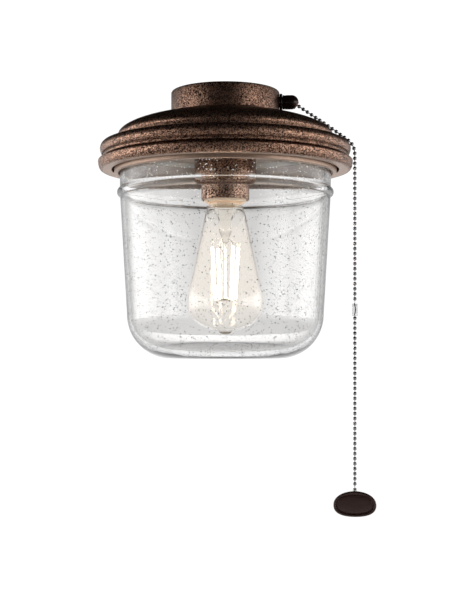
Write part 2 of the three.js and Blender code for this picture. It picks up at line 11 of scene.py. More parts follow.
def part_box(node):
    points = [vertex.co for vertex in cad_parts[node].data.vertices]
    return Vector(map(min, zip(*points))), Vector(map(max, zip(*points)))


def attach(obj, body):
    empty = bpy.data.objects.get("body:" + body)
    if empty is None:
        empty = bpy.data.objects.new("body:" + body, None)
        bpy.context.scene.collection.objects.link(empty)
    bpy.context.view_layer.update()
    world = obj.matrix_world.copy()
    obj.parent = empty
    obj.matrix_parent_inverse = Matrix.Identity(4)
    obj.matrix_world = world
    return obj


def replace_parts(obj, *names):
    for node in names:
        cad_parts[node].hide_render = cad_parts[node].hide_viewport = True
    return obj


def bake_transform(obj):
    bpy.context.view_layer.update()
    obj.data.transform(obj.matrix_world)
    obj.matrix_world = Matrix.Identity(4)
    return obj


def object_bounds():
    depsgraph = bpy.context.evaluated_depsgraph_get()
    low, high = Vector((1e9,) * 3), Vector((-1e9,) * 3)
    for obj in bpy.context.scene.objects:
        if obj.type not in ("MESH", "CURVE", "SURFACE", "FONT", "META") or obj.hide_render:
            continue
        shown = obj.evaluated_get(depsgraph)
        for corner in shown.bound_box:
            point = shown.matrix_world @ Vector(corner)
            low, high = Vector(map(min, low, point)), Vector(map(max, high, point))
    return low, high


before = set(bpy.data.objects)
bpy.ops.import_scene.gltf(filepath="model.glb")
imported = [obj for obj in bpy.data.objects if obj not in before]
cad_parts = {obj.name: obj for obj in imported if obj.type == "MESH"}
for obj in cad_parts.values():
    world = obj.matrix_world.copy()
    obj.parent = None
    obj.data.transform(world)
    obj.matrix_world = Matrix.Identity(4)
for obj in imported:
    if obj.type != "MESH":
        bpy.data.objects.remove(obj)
CAD_BOX = [list(corner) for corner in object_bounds()]

MM = 0.001
LARGE_TURN = 192  # segments round the collar, pan and jar
SMALL_TURN = 64  # segments round the lampholder, lamp and nozzle
CUT_TURN = 48  # segments round holes, the coupling and the nozzle's rim
ROD_TURN = 10  # segments round wires


# ---------- places taken from the frame, in millimetres ----------
def box_mm(node):
    low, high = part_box(node)
    return low / MM, high / MM


COLLAR_LOW, COLLAR_HIGH = box_mm("collar")
PAN_LOW, PAN_HIGH = box_mm("lid_pan")
FITTER_LOW, FITTER_HIGH = box_mm("fitter_pan")
JAR_LOW, JAR_HIGH = box_mm("glass_jar")
CUP_LOW, CUP_HIGH = box_mm("socket_cup")
HOLDER_LOW, HOLDER_HIGH = box_mm("lampholder")
BULB_LOW, BULB_HIGH = box_mm("bulb_glass")
CAP_LOW, CAP_HIGH = box_mm("bulb_base")
COUPLING_LOW, COUPLING_HIGH = box_mm("chain_coupling")
FOB_LOW, FOB_HIGH = box_mm("fob")
FERRULE_LOW, FERRULE_HIGH = box_mm("fob_ferrule")
NOZZLE_BACK = box_mm("chain_nozzle")[0].x
PLATE_LOW, PLATE_HIGH = box_mm("mounting_plate")
NUT_LOW, NUT_HIGH = box_mm("ring_nut")
GROMMET_LOW, GROMMET_HIGH = box_mm("wire_grommet")
NOZZLE_Z = (NUT_LOW.z + NUT_HIGH.z) / 2

# Sizes that more than one section uses
BEAD = {"z": -85.2, "half": 4, "proud": 2.5}  # the raised ring round the jar under its neck


# ---------- camera, light and floor ----------
CAMERA_TURN = math.radians(5)  # towards the chain, which hangs a little nearer the camera than the lamp
CAMERA_AWAY = 1.014
CAMERA_Z = -0.2108
CAMERA_LENS = 72
CAMERA_SHIFT = (-0.0006, 0.07)
FLOOR_DROP = 0.25  # metres from the fob to the floor
FLOOR_LIGHT = 1.15
BACKDROP = 1.05  # how bright the floor and the wall look to the camera
WHITE = (1, 1, 1, 1)
FLOOR_HALF = 4  # metres from the floor's middle to its edges
# The light that the floor sends up, by place in metres: pairs of a place and a share of FLOOR_LIGHT
NEAR_TO_FAR = [(-1.4, 0.25), (-0.5, 0.5), (0.1, 0.55), (0.8, 1)]
ACROSS = [(-0.8, 0.8), (-0.25, 1), (0.25, 1), (0.8, 0.8)]
# The studio's light by direction, from -1 to 1 along an axis: pairs of a place and a share of STUDIO_LIGHT
CORNER_LIGHTS = {
    "front_to_back": [(-0.88, 0), (-0.64, 1), (-0.4, 0.9), (-0.15, 0)],
    "left_to_right": [(-0.7, 0.38), (0.7, 0.7)],
}
WALL_LIGHTS = {
    "front_to_back": [
        (-0.7, 0.006), (-0.3, 0.7), (-0.1, 1), (0.4, 1), (0.74, 0.34), (0.9, 0.25), (1, 0.245),
    ],
    "left_to_right": [(-0.9, 0.82), (0.9, 0.66)],
}
DOWN_TO_UP = [(0.08, 1), (0.3, 0.015), (0.7, 0.004)]
STUDIO_LIGHT = 4  # the strength where every share is 1


def add_camera():
    data = bpy.data.cameras.new("camera")
    data.lens = CAMERA_LENS
    data.shift_x, data.shift_y = CAMERA_SHIFT
    camera = bpy.data.objects.new("camera", data)
    x, y = CAMERA_AWAY * math.sin(CAMERA_TURN), -CAMERA_AWAY * math.cos(CAMERA_TURN)
    camera.location = (x, y, CAMERA_Z)
    camera.rotation_euler = (math.pi / 2, 0, CAMERA_TURN)
    bpy.context.scene.collection.objects.link(camera)
    bpy.context.scene.camera = camera


def shown_and_cast(tree, cast):
    """A shader that looks plain white to the camera, and lights the rest by what cast gives."""
    plain = tree.nodes.new("ShaderNodeEmission")
    plain.inputs["Color"].default_value = WHITE
    plain.inputs["Strength"].default_value = BACKDROP
    rays = tree.nodes.new("ShaderNodeLightPath")
    mix = tree.nodes.new("ShaderNodeMixShader")
    tree.links.new(rays.outputs["Is Camera Ray"], mix.inputs[0])
    tree.links.new(cast, mix.inputs[1])
    tree.links.new(plain.outputs[0], mix.inputs[2])
    return mix.outputs[0]


def ramp(tree, place, stops, size=1.0):
    """A smooth value along stops, for places from -size to size."""
    share = tree.nodes.new("ShaderNodeMapRange")
    share.inputs["From Min"].default_value = -size
    share.inputs["From Max"].default_value = size
    tree.links.new(place, share.inputs["Value"])
    made = tree.nodes.new("ShaderNodeValToRGB")
    made.color_ramp.interpolation = "EASE"
    elements = made.color_ramp.elements
    elements.remove(elements[1])
    for i, (at, value) in enumerate(stops):
        element = elements[0] if i == 0 else elements.new((at / size + 1) / 2)
        element.position = (at / size + 1) / 2
        element.color = (value, value, value, 1)
    tree.links.new(share.outputs["Result"], made.inputs["Fac"])
    return made.outputs["Color"]


def feed(tree, socket, value):
    """Gives a socket another node's output, or a constant."""
    if isinstance(value, bpy.types.NodeSocket):
        tree.links.new(value, socket)
    else:
        socket.default_value = value


def combined(tree, operation, first, second):
    made = tree.nodes.new("ShaderNodeMath")
    made.operation = operation
    feed(tree, made.inputs[0], first)
    feed(tree, made.inputs[1], second)
    return made.outputs[0]


def product(tree, *values):
    made = values[0]
    for value in values[1:]:
        made = combined(tree, "MULTIPLY", made, value)
    return made


def turned_place(tree, coordinates):
    """Places seen in the camera's own left-right and front-back directions."""
    mapping = tree.nodes.new("ShaderNodeMapping")
    mapping.inputs["Rotation"].default_value = (0, 0, -CAMERA_TURN)
    texture = tree.nodes.new("ShaderNodeTexCoord")
    tree.links.new(texture.outputs[coordinates], mapping.inputs["Vector"])
    split = tree.nodes.new("ShaderNodeSeparateXYZ")
    tree.links.new(mapping.outputs["Vector"], split.inputs[0])
    return split.outputs


def add_floor():
    bpy.ops.mesh.primitive_plane_add(size=2 * FLOOR_HALF, location=(0, 0, CAD_BOX[0][2] - FLOOR_DROP))
    floor = bpy.context.object
    floor.name = "floor"
    material = bpy.data.materials.new("pale_floor")
    material.use_nodes = True
    tree = material.node_tree
    tree.nodes.remove(tree.nodes["Principled BSDF"])
    light = tree.nodes.new("ShaderNodeEmission")
    place = turned_place(tree, "Object")
    near_to_far = ramp(tree, place["Y"], NEAR_TO_FAR, FLOOR_HALF)
    across = ramp(tree, place["X"], ACROSS, FLOOR_HALF)
    tree.links.new(product(tree, near_to_far, across, FLOOR_LIGHT), light.inputs["Strength"])
    output = tree.nodes["Material Output"]
    tree.links.new(shown_and_cast(tree, light.outputs[0]), output.inputs["Surface"])
    floor.data.materials.append(material)


def add_world():
    """A white studio, dark behind the camera and overhead, with soft lights at both near corners.

    The shares along the axes are multiplied, and the two groups of lights are added.
    """
    world = bpy.data.worlds.new("studio")
    bpy.context.scene.world = world
    world.use_nodes = True
    tree = world.node_tree
    tree.nodes.clear()
    place = turned_place(tree, "Generated")
    groups = []
    for group in (CORNER_LIGHTS, WALL_LIGHTS):
        front_to_back = ramp(tree, place["Y"], group["front_to_back"])
        left_to_right = ramp(tree, place["X"], group["left_to_right"])
        groups.append(product(tree, front_to_back, left_to_right))
    both = combined(tree, "ADD", *groups)
    strength = product(tree, both, STUDIO_LIGHT, ramp(tree, place["Z"], DOWN_TO_UP))
    light = tree.nodes.new("ShaderNodeBackground")
    light.inputs["Color"].default_value = WHITE
    tree.links.new(strength, light.inputs["Strength"])
    output = tree.nodes.new("ShaderNodeOutputWorld")
    tree.links.new(shown_and_cast(tree, light.outputs[0]), output.inputs["Surface"])


def add_studio():
    bpy.context.scene.view_settings.view_transform = "Standard"
    add_floor()
    add_world()


# ---------- materials ----------
MIX_FIRST, MIX_SECOND, MIX_RESULT = 6, 7, 2  # the Mix node's sockets for colours
COLLAR_SHADE = (-1, 2)  # the collar's painted shade, a darker tone, comes in between these heights over the pan's top
CUP_LAMPLIGHT_Z = -68  # the cup's painted lamp light, a lighter tone, is full from here down
GLOW_RISE = 45  # the lamp glass's painted glow grows to full over this height above its tip
GLOW_FULL_TO, GLOW_FAINT_FROM = -125, -100


class Finish:
    """A material with one Principled shader, and short ways to wire the nodes that drive it."""

    def __init__(self, name, **sockets):
        self.material = bpy.data.materials.new(name)
        self.material.use_nodes = True
        self.tree = self.material.node_tree
        self.shader = self.tree.nodes["Principled BSDF"]
        self.place = self.tree.nodes.new("ShaderNodeTexCoord").outputs["Object"]
        for socket, value in sockets.items():
            self.shader.inputs[socket.replace("_", " ")].default_value = value

    def new(self, kind, **inputs):
        made = self.tree.nodes.new("ShaderNode" + kind)
        for name, value in inputs.items():
            feed(self.tree, made.inputs[name.replace("_", " ")], value)
        return made

    def grain(self, scale, detail=2.0):
        return self.new("TexNoise", Vector=self.place, Scale=scale, Detail=detail).outputs["Fac"]

    def height(self):
        return self.new("SeparateXYZ", Vector=self.place).outputs["Z"]

    def math(self, operation, first, second=0.0):
        return combined(self.tree, operation, first, second)

    def spread(self, value, low, high, at_low=0.0, at_high=1.0):
        """The value's share of the way from low to high, eased and mapped to a new range."""
        made = self.new("MapRange", Value=value, From_Min=low, From_Max=high, To_Min=at_low, To_Max=at_high)
        made.interpolation_type = "SMOOTHSTEP"
        return made.outputs["Result"]

    def blend(self, share, first, second):
        made = self.new("Mix")
        made.data_type = "RGBA"
        for socket, value in (("Factor", share), (MIX_FIRST, first), (MIX_SECOND, second)):
            feed(self.tree, made.inputs[socket], value)
        return made.outputs[MIX_RESULT]

    def set(self, socket, value):
        feed(self.tree, self.shader.inputs[socket], value)

    def bump(self, height, distance, strength=1.0):
        made = self.new("Bump", Height=height, Distance=distance, Strength=strength)
        self.set("Normal", made.outputs["Normal"])


def weathered_copper():
    """Brown powder coat with fine black worm-like mottling, with painted shade darkening the collar and
    painted lamp light lightening the cup.
    """
    finish = Finish("weathered_copper", Metallic=0.95, IOR=1.5)
    worm = finish.math("ABSOLUTE", finish.math("SUBTRACT", finish.grain(600, 1.0), 0.5))
    worm = finish.spread(worm, 0.025, 0.065)
    specks = finish.spread(finish.grain(1200, 1.0), 0.40, 0.52)
    island = finish.math("MULTIPLY", worm, finish.spread(specks, 0, 1, 0.08, 1))
    tone = finish.blend(finish.grain(80, 3), (0.40, 0.21, 0.135, 1), (0.66, 0.41, 0.29, 1))
    # painted shade: over the pan's top the collar is darkened halfway to a dark brown
    collar = finish.spread(finish.height(), *[(PAN_HIGH.z + z) * MM for z in COLLAR_SHADE], 0, 0.5)
    tone = finish.blend(collar, tone, (0.10, 0.055, 0.038, 1))
    # painted light: the cup lightens towards its lower edge, as the lamp just under it would light it
    cup = finish.spread(finish.height(), CUP_LAMPLIGHT_Z * MM, PAN_LOW.z * MM, 0.45, 0)
    tone = finish.blend(cup, tone, (1, 0.72, 0.55, 1))
    finish.set("Base Color", finish.blend(island, (0.010, 0.004, 0.004, 1), tone))
    finish.set("Roughness", finish.spread(island, 0, 1, 0.42, 0.32))
    finish.bump(island, 0.00012, 0.5)
    return finish.material


def grainy(name, dark, light, rough, grains=(260, 900, 1800), bump=(0.00005, 0.4), glow=0.0, **sockets):
    """A finish whose tone, roughness and surface each vary with a grain of noise, from coarse to fine. With
    glow, its tone also shines, as painted lamp light.
    """
    finish = Finish(name, **sockets)
    tone = finish.blend(finish.grain(grains[0], 3), dark, light)
    finish.set("Base Color", tone)
    # painted lamp light: the tone also glows
    if glow:
        finish.set("Emission Color", tone)
        finish.set("Emission Strength", glow)
    finish.set("Roughness", finish.spread(finish.grain(grains[1]), 0.3, 0.7, *rough))
    finish.bump(finish.grain(grains[2]), *bump)
    return finish.material


def thin_copper(name, metallic, dark, light):
    """The thin smooth coat on the pan's lip and on the jar's fitter."""
    return grainy(name, dark, light, (0.34, 0.46), (420, 900, 1400), (0.00004, 0.5), Metallic=metallic)


def dark_bronze():
    return grainy("dark_bronze", (0.014, 0.006, 0.005, 1), (0.028, 0.013, 0.010, 1), (0.2, 0.3),
                  (240, 800, 1200), (0.00003, 0.4), Metallic=0.4, IOR=1.5)


def fob_bronze():
    """Satin brown-black moulding with a fine grain."""
    return grainy("fob_bronze", (0.044, 0.020, 0.016, 1), (0.078, 0.038, 0.031, 1), (0.32, 0.46),
                  (420, 1500, 2600), (0.00003, 0.4), Metallic=0.25, IOR=1.5)


def lit_by_lamp(name, dark, light, metallic=0.0):
    """The finish of a piece that the lamp just under it lights up; that lamp light is painted in as a faint
    glow of the piece's own tone.
    """
    return grainy(name, dark, light, (0.36, 0.48), glow=0.24, Metallic=metallic)


def metal(name, dark, light, rough):
    """Bare or plated metal whose tone, roughness and surface share one fine grain."""
    finish = Finish(name, Metallic=1)
    grain = finish.grain(400, 3)
    finish.set("Base Color", finish.blend(grain, dark, light))
    finish.set("Roughness", finish.spread(grain, 0.3, 0.7, rough - 0.07, rough + 0.07))
    finish.bump(grain, 0.00003, 0.4)
    return finish.material


def clear(name, dark, light, ior, grain, waves, edge=1.0):
    """Clear glass or plastic with faint waves in its surface, darker where it is seen along its wall."""
    finish = Finish(name, Roughness=0.0, IOR=ior, Transmission_Weight=1)
    tint = finish.blend(finish.grain(grain, 1), dark, light)
    along = finish.spread(finish.new("LayerWeight", Blend=0.5).outputs["Facing"], 0.6, 0.9)
    finish.set("Base Color", finish.blend(along, tint, (edge, edge, edge, 1)))
    finish.bump(finish.grain(grain, 1), waves, 0.3)
    return finish


def jar_glass():
    dark, light = (0.975, 0.97, 0.965, 1), (0.99, 0.985, 0.98, 1)
    return clear("seeded_glass", dark, light, ior=1.34, grain=70, waves=0.0002, edge=0.1).material


def clear_plastic():
    dark, light = (0.92, 0.92, 0.93, 1), (0.98, 0.98, 0.99, 1)
    return clear("clear_plastic", dark, light, ior=1.1, grain=300, waves=0.00002, edge=0.12).material


def stem_glass():
    dark, light = (0.99, 0.97, 0.94, 1), (1, 0.99, 0.97, 1)
    return clear("stem_glass", dark, light, ior=1.06, grain=40, waves=0.0001).material


def lamp_glass():
    """Glass with a painted warm glow beside the lit filaments, standing in for the light that spreads round
    them.
    """
    dark, light = (0.995, 0.99, 0.98, 1), (1, 0.998, 0.99, 1)
    finish = clear("lamp_glass", dark, light, ior=1.26, grain=40, waves=0.0001, edge=0.62)
    below = finish.spread(finish.height(), BULB_LOW.z * MM, (BULB_LOW.z + GLOW_RISE) * MM)
    above = finish.spread(finish.height(), GLOW_FULL_TO * MM, GLOW_FAINT_FROM * MM, 1, 0.35)
    glow = finish.math("MULTIPLY", finish.spread(below, 0, 1, 0.45, 1), above)
    # painted glow: warm emission on the glass, strongest beside the filaments
    finish.set("Emission Color", finish.blend(glow, (0, 0, 0, 1), (1, 0.84, 0.64, 1)))
    finish.set("Emission Strength", 0.06)
    return finish.material


def seed_gas():
    """The tiny bubbles in the jar's glass, drawn as solid skins: dark, as painted shade for the dark edges
    that bend light away, and white and glowing on the dark neck, as painted highlights.
    """
    finish = Finish("glass_seeds_painted_shade_and_highlight", IOR=1.3)
    # painted shade: the bubbles' skins are dark
    dark = finish.blend(finish.grain(300, 1), (0.008, 0.006, 0.005, 1), (0.06, 0.05, 0.045, 1))
    # painted highlight: over the neck the skins turn white and glow
    neck = finish.spread(finish.height(), (BEAD["z"] - 4) * MM, (BEAD["z"] + 4) * MM)
    finish.set("Base Color", finish.blend(neck, dark, (0.95, 0.93, 0.92, 1)))
    finish.set("Emission Color", finish.blend(neck, (0, 0, 0, 1), (1, 0.98, 0.96, 1)))
    finish.set("Emission Strength", 0.55)
    finish.set("Roughness", finish.spread(finish.grain(500, 1), 0.3, 0.7, 0.35, 0.5))
    return finish.material


def glowing_phosphor():
    """A lit filament: a chain of bright dies under warm phosphor."""
    finish = Finish("lit_phosphor", Roughness=0.6)
    dies = finish.spread(finish.grain(700, 1), 0.35, 0.65)
    finish.set("Base Color", finish.blend(dies, (1, 0.80, 0.5, 1), (1, 0.9, 0.7, 1)))
    finish.set("Emission Color", finish.blend(dies, (1, 0.78, 0.50, 1), (1, 0.88, 0.68, 1)))
    finish.set("Emission Strength", 22)
    return finish.material


MATERIALS = {
    "copper": weathered_copper(),
    "thin_coat": thin_copper("thin_copper_coat", 0.6, (0.56, 0.46, 0.40, 1), (0.80, 0.69, 0.62, 1)),
    "lip": thin_copper("satin_copper_lip", 0.75, (0.30, 0.20, 0.15, 1), (0.48, 0.34, 0.26, 1)),
    "jar": jar_glass(),
    "seeds": seed_gas(),
    "lamp": lamp_glass(),
    "bronze": dark_bronze(),
    "fob": fob_bronze(),
    "zinc": metal("zinc_plate", (0.50, 0.51, 0.53, 1), (0.68, 0.69, 0.70, 1), 0.34),
    "chain": metal("gunmetal_chain", (0.26, 0.25, 0.27, 1), (0.44, 0.42, 0.45, 1), 0.2),
    "brass": metal("pressed_brass", (0.60, 0.43, 0.19, 1), (0.80, 0.61, 0.32, 1), 0.3),
    "cap": lit_by_lamp("pale_brass_painted_glow", (0.78, 0.62, 0.46, 1), (0.90, 0.76, 0.61, 1), 0.5),
    # a lighter bronze for the nozzle's rim, as a painted highlight
    "edge": metal("rim_bronze_painted_highlight", (0.16, 0.09, 0.07, 1), (0.30, 0.18, 0.14, 1), 0.36),
    "stem": stem_glass(),
    "nickel": metal("nickel_wire", (0.60, 0.58, 0.55, 1), (0.76, 0.74, 0.70, 1), 0.25),
    "cream": lit_by_lamp("cream_phenolic", (0.80, 0.63, 0.47, 1), (0.88, 0.72, 0.56, 1)),
    "black": grainy("black_plastic", (0.012, 0.012, 0.013, 1), (0.03, 0.03, 0.032, 1), (0.39, 0.51)),
    "white": grainy("white_plastic", (0.74, 0.74, 0.71, 1), (0.82, 0.82, 0.80, 1), (0.39, 0.51)),
    "green": grainy("green_insulation", (0.03, 0.16, 0.06, 1), (0.05, 0.24, 0.10, 1), (0.36, 0.48)),
    "silicone": grainy("silicone", (0.64, 0.64, 0.61, 1), (0.74, 0.74, 0.71, 1), (0.54, 0.66)),
    "clear": clear_plastic(),
    "phosphor": glowing_phosphor(),
}


# ---------- mesh helpers; profiles are [radius, z] in millimetres ----------
def arc(centre, size, start, end, steps):
    """Points of an ellipse's arc about centre, from one angle to another, in degrees."""
    turn = [math.radians(start + (end - start) * i / steps) for i in range(steps + 1)]
    return [(centre[0] + size[0] * math.cos(a), centre[1] + size[1] * math.sin(a)) for a in turn]


def round_arc(r, z, radius, start, end, steps):
    return arc((r, z), (radius, radius), start, end, steps)


def bezier(first, pull, last, steps):
    """Points of a quadratic curve."""
    shares = [i / steps for i in range(steps + 1)]
    return [
        tuple((1 - t) ** 2 * a + 2 * t * (1 - t) * b + t * t * c for a, b, c in zip(first, pull, last))
        for t in shares
    ]


def line(start, end, steps):
    """Points at even steps along a straight line."""
    return [tuple(a + (b - a) * i / steps for a, b in zip(start, end)) for i in range(steps + 1)]


def rounded(profile, radius, steps=4):
    """A closed profile with each corner rounded, by up to radius."""
    made = []
    points = [Vector(p) for p in profile]
    for before, here, after in zip(points[-1:] + points[:-1], points, points[1:] + points[:1]):
        to_before, to_after = before - here, after - here
        reach = min(radius, to_before.length * 0.45, to_after.length * 0.45)
        start = here + to_before.normalized() * reach
        end = here + to_after.normalized() * reach
        made += bezier(start, here, end, steps)
    return made


def template(make, **options):
    """The corners and faces of a primitive, for copies() to repeat."""
    work = bmesh.new()
    make(work, **options)
    work.verts.index_update()
    points = [corner.co.copy() for corner in work.verts]
    sides = [[corner.index for corner in face.verts] for face in work.faces]
    work.free()
    return points, sides


def rod(radius, segments, length=1):
    """The template of a cylinder about Z."""
    return template(bmesh.ops.create_cone, cap_ends=True, segments=segments, radius1=radius, radius2=radius,
                    depth=length)


def copies(name, placed):
    """One mesh of many shapes, each put in its place by a matrix in millimetres."""
    corners, faces = [], []
    for (points, sides), matrix in placed:
        start = len(corners)
        corners += [matrix @ point * MM for point in points]
        faces += [[start + i for i in side] for side in sides]
    mesh = bpy.data.meshes.new(name)
    mesh.from_pydata(corners, [], faces)
    return mesh


def facing(place, along, size=(1, 1, 1)):
    """The matrix that puts a shape at a place with its Z axis along a direction."""
    turn = along.to_track_quat("Z", "Y").to_matrix().to_4x4()
    return Matrix.Translation(place) @ turn @ Matrix.Diagonal((*size, 1))


def between(a, b):
    """The matrix that stretches a rod of length 1 from one place to another."""
    return facing((a + b) / 2, b - a, (1, 1, (b - a).length))


def moved(mesh, x, y=0.0, z=0.0):
    mesh.transform(Matrix.Translation((x * MM, y * MM, z * MM)))
    return mesh


def along_x(mesh):
    """The mesh turned from Z to X, at the nozzle's height."""
    mesh.transform(Matrix.Translation((0, 0, NOZZLE_Z * MM)) @ Matrix.Rotation(math.pi / 2, 4, "Y"))
    return mesh


def carved(mesh, tools):
    """The mesh with the tools' volumes taken away."""
    body = bpy.data.objects.new("body", mesh)
    bpy.context.scene.collection.objects.link(body)
    cutters = []
    for tool in tools:
        cutter = bpy.data.objects.new("cutter", tool)
        bpy.context.scene.collection.objects.link(cutter)
        modifier = body.modifiers.new("cut", "BOOLEAN")
        modifier.operation = "DIFFERENCE"
        modifier.solver = "EXACT"
        modifier.object = cutter
        cutters.append(cutter)
    seen = body.evaluated_get(bpy.context.evaluated_depsgraph_get())
    result = bpy.data.meshes.new_from_object(seen)
    for made in (body, *cutters):
        bpy.data.objects.remove(made)
    result.materials.clear()
    return result


def cylinder(radius, low, high, place=(0, 0)):
    matrix = Matrix.Translation((*place, (low + high) / 2))
    return copies("cylinder", [(rod(radius, CUT_TURN, high - low), matrix)])


def block(low, high, turn=0.0):
    """A box between two corners, turned about Z by degrees."""
    low, high = Vector(low), Vector(high)
    size = Matrix.Diagonal((*(high - low), 1))
    matrix = Matrix.Rotation(math.radians(turn), 4, "Z") @ Matrix.Translation((low + high) / 2) @ size
    return copies("block", [(template(bmesh.ops.create_cube, size=1), matrix)])


def new_piece(name, mesh, body, material, sharp=35):
    """Links a mesh, shades it smooth but for edges sharper than an angle, and rides it on a body."""
    mesh.validate()
    mesh.polygons.foreach_set("use_smooth", [True] * len(mesh.polygons))
    mesh.set_sharp_from_angle(angle=math.radians(sharp))
    piece = bpy.data.objects.new(name, mesh)
    bpy.context.scene.collection.objects.link(piece)
    mesh.materials.append(MATERIALS[material])
    if body:
        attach(piece, body)
    return piece


def turned_mesh(name, profile, segments=LARGE_TURN, shift=None):
    """A closed profile turned about Z, each vertex moved out by what shift says for its place."""
    work = bmesh.new()
    rings = []
    for r, z in profile:
        if r < 1e-6:
            rings.append([work.verts.new((0, 0, z * MM))])
            continue
        ring = []
        for i in range(segments):
            angle = 2 * math.pi * i / segments
            out = r + (shift(r, z, angle) if shift else 0)
            ring.append(work.verts.new((out * math.cos(angle) * MM, out * math.sin(angle) * MM, z * MM)))
        rings.append(ring)
    for lower, upper in zip(rings, rings[1:] + rings[:1]):
        if len(lower) == 1 and len(upper) == 1:
            continue
        for i in range(segments):
            j = (i + 1) % segments
            corners = [
                lower[i % len(lower)], lower[j % len(lower)], upper[j % len(upper)], upper[i % len(upper)],
            ]
            work.faces.new(list(dict.fromkeys(corners)))
    bmesh.ops.recalc_face_normals(work, faces=work.faces)
    mesh = bpy.data.meshes.new(name)
    work.to_mesh(mesh)
    work.free()
    return mesh


def turned(name, profile, body, material, segments=LARGE_TURN, sharp=35):
    return new_piece(name, turned_mesh(name, profile, segments), body, material, sharp)


# ---------- collar, pan and fitter ----------
COLLAR_WALL = 1.5
COLLAR_FLANGE_R = 38  # inner edge of the flange under the plate
BUSHING_HOLE_R = 5.2
KEYHOLES = (60, 180, 300)  # degrees round the plate
KEYHOLE_CIRCLE, KEYHOLE_HEAD_R, KEYHOLE_SLOT_R, KEYHOLE_LENGTH = 31, 4.2, 2.2, 6
SCREWS = (30, 150, 270)
SCREW_CIRCLE = 34.6
SCREW_R = 2.0
SINK_HOLE_R, SINK_R, SINK_FROM_Z = 2.9, 4.8, 0.3
WIRE_HOLE_R = 6
GROMMET_AT = -15
PLATE_GAP = 0.3
PAN_WALL = 1.4
NIPPLE_HOLE = 5.3
PAN_LAND_R = 46
DOME_END = (90.3, -39.3)
DOME_PULL = (94.2, -28.6)
COVE_Z = -42.4
RING = {"centre": (100, -48.8), "size": (5.4, 5.5)}
CREASE = {"at": -40, "depth": 1.2, "width": 5}  # a fine line on the underside of the ring, in degrees
RIDGE = {"at": -56, "depth": -0.5, "width": 6}  # and a thin raised line below it
GROOVE_R = 98.2
GROOVE_Z = -57.2
TORUS_Z = -59.2
LIP_OUTER = 104.3
LIP_INNER = 95.6
FITTER_WALL = 1.2
FITTER_HEM_R = 90.3


def add_collar():
    outer, top, bottom = COLLAR_HIGH.x, COLLAR_HIGH.z, COLLAR_LOW.z
    edge = 1.6
    seat = PLATE_HIGH.x + PLATE_GAP
    ledge = PLATE_LOW.z - PLATE_GAP
    profile = [
        (outer - COLLAR_WALL, bottom),
        *round_arc(outer - 0.4, bottom + 0.4, 0.4, -90, 0, 3),
        *round_arc(outer - edge, top - edge, edge, 0, 90, 8),
        (seat, top),
        (seat, ledge),
        (COLLAR_FLANGE_R, ledge),
        (COLLAR_FLANGE_R, ledge - COLLAR_WALL),
        (outer - COLLAR_WALL, ledge - COLLAR_WALL),
    ]
    hole = along_x(cylinder(BUSHING_HOLE_R, outer - 6, outer + 4))
    mesh = carved(turned_mesh("collar_shell", profile), [hole])
    collar = new_piece("collar_shell", mesh, "housing", "copper")
    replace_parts(collar, "collar")


def on_circle(radius, degrees):
    return radius * math.cos(math.radians(degrees)), radius * math.sin(math.radians(degrees))


def add_plate():
    """The plate that goes against the fan: three keyholes, three countersunk screws and a wire hole."""
    low, high, r = PLATE_LOW.z, PLATE_HIGH.z, PLATE_HIGH.x
    below, above = low - 1, high + 1
    disc = turned_mesh("plate", rounded([(0, low), (r, low), (r, high), (0, high)], 0.25, 2))
    tools = [cylinder(WIRE_HOLE_R, below, above, (GROMMET_AT, 0))]
    circle, slot, length = KEYHOLE_CIRCLE, KEYHOLE_SLOT_R, KEYHOLE_LENGTH
    for degrees in KEYHOLES:
        tools.append(cylinder(KEYHOLE_HEAD_R, below, above, on_circle(circle, degrees)))
        tools.append(block((circle - slot, 0, below), (circle + slot, length, above), degrees))
        across = degrees + math.degrees(math.atan2(length, circle))
        tools.append(cylinder(slot, below, above, on_circle(math.hypot(circle, length), across)))
    for degrees in SCREWS:
        sink = turned_mesh("sink", [
            (0, below), (SINK_HOLE_R, below), (SINK_HOLE_R, low), (SINK_R, SINK_FROM_Z), (SINK_R, above),
            (0, above),
        ], CUT_TURN)
        tools.append(moved(sink, *on_circle(SCREW_CIRCLE, degrees)))
    plate = new_piece("mounting_plate_fine", carved(disc, tools), "housing", "zinc", 30)
    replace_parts(plate, "mounting_plate")


def add_screw(number, degrees):
    """A countersunk screw with a cross drive."""
    node = f"plate_screw_{number}"
    low, high = box_mm(node)
    bottom, top, r, head = low.z, high.z, SCREW_R, (high.x - low.x) / 2
    body = turned_mesh(node, [
        (0, bottom), (r - 0.4, bottom), (r, bottom + 0.5), (r, top - 1.8), (head, top - 0.25),
        (head - 0.3, top), (0, top),
    ], 40)
    cross = [block((-2.4, -0.45, top - 1.1), (2.4, 0.45, top + 1), turn) for turn in (20, 110)]
    mesh = moved(carved(body, cross), *on_circle(SCREW_CIRCLE, degrees))
    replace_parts(new_piece(f"{node}_fine", mesh, "housing", "zinc", 30), node)


def add_grommet():
    low, high = GROMMET_LOW.z, GROMMET_HIGH.z
    bore, r = 4.4, WIRE_HOLE_R - 0.3
    wide = (GROMMET_HIGH.x - GROMMET_LOW.x) / 2
    step = PLATE_LOW.z - PLATE_GAP
    mesh = turned_mesh("grommet", rounded([
        (bore, low), (wide, low), (wide, step), (r, step), (r, high), (bore, high),
    ], 0.35, 3), SMALL_TURN)
    grommet = new_piece("wire_grommet_fine", moved(mesh, GROMMET_AT), "housing", "black")
    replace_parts(grommet, "wire_grommet")


def ring_crease(degrees):
    """How far the fine lines on the ring go in at an angle."""
    return sum(fine["depth"] * math.exp(-((degrees - fine["at"]) / fine["width"]) ** 2)
               for fine in (CREASE, RIDGE))


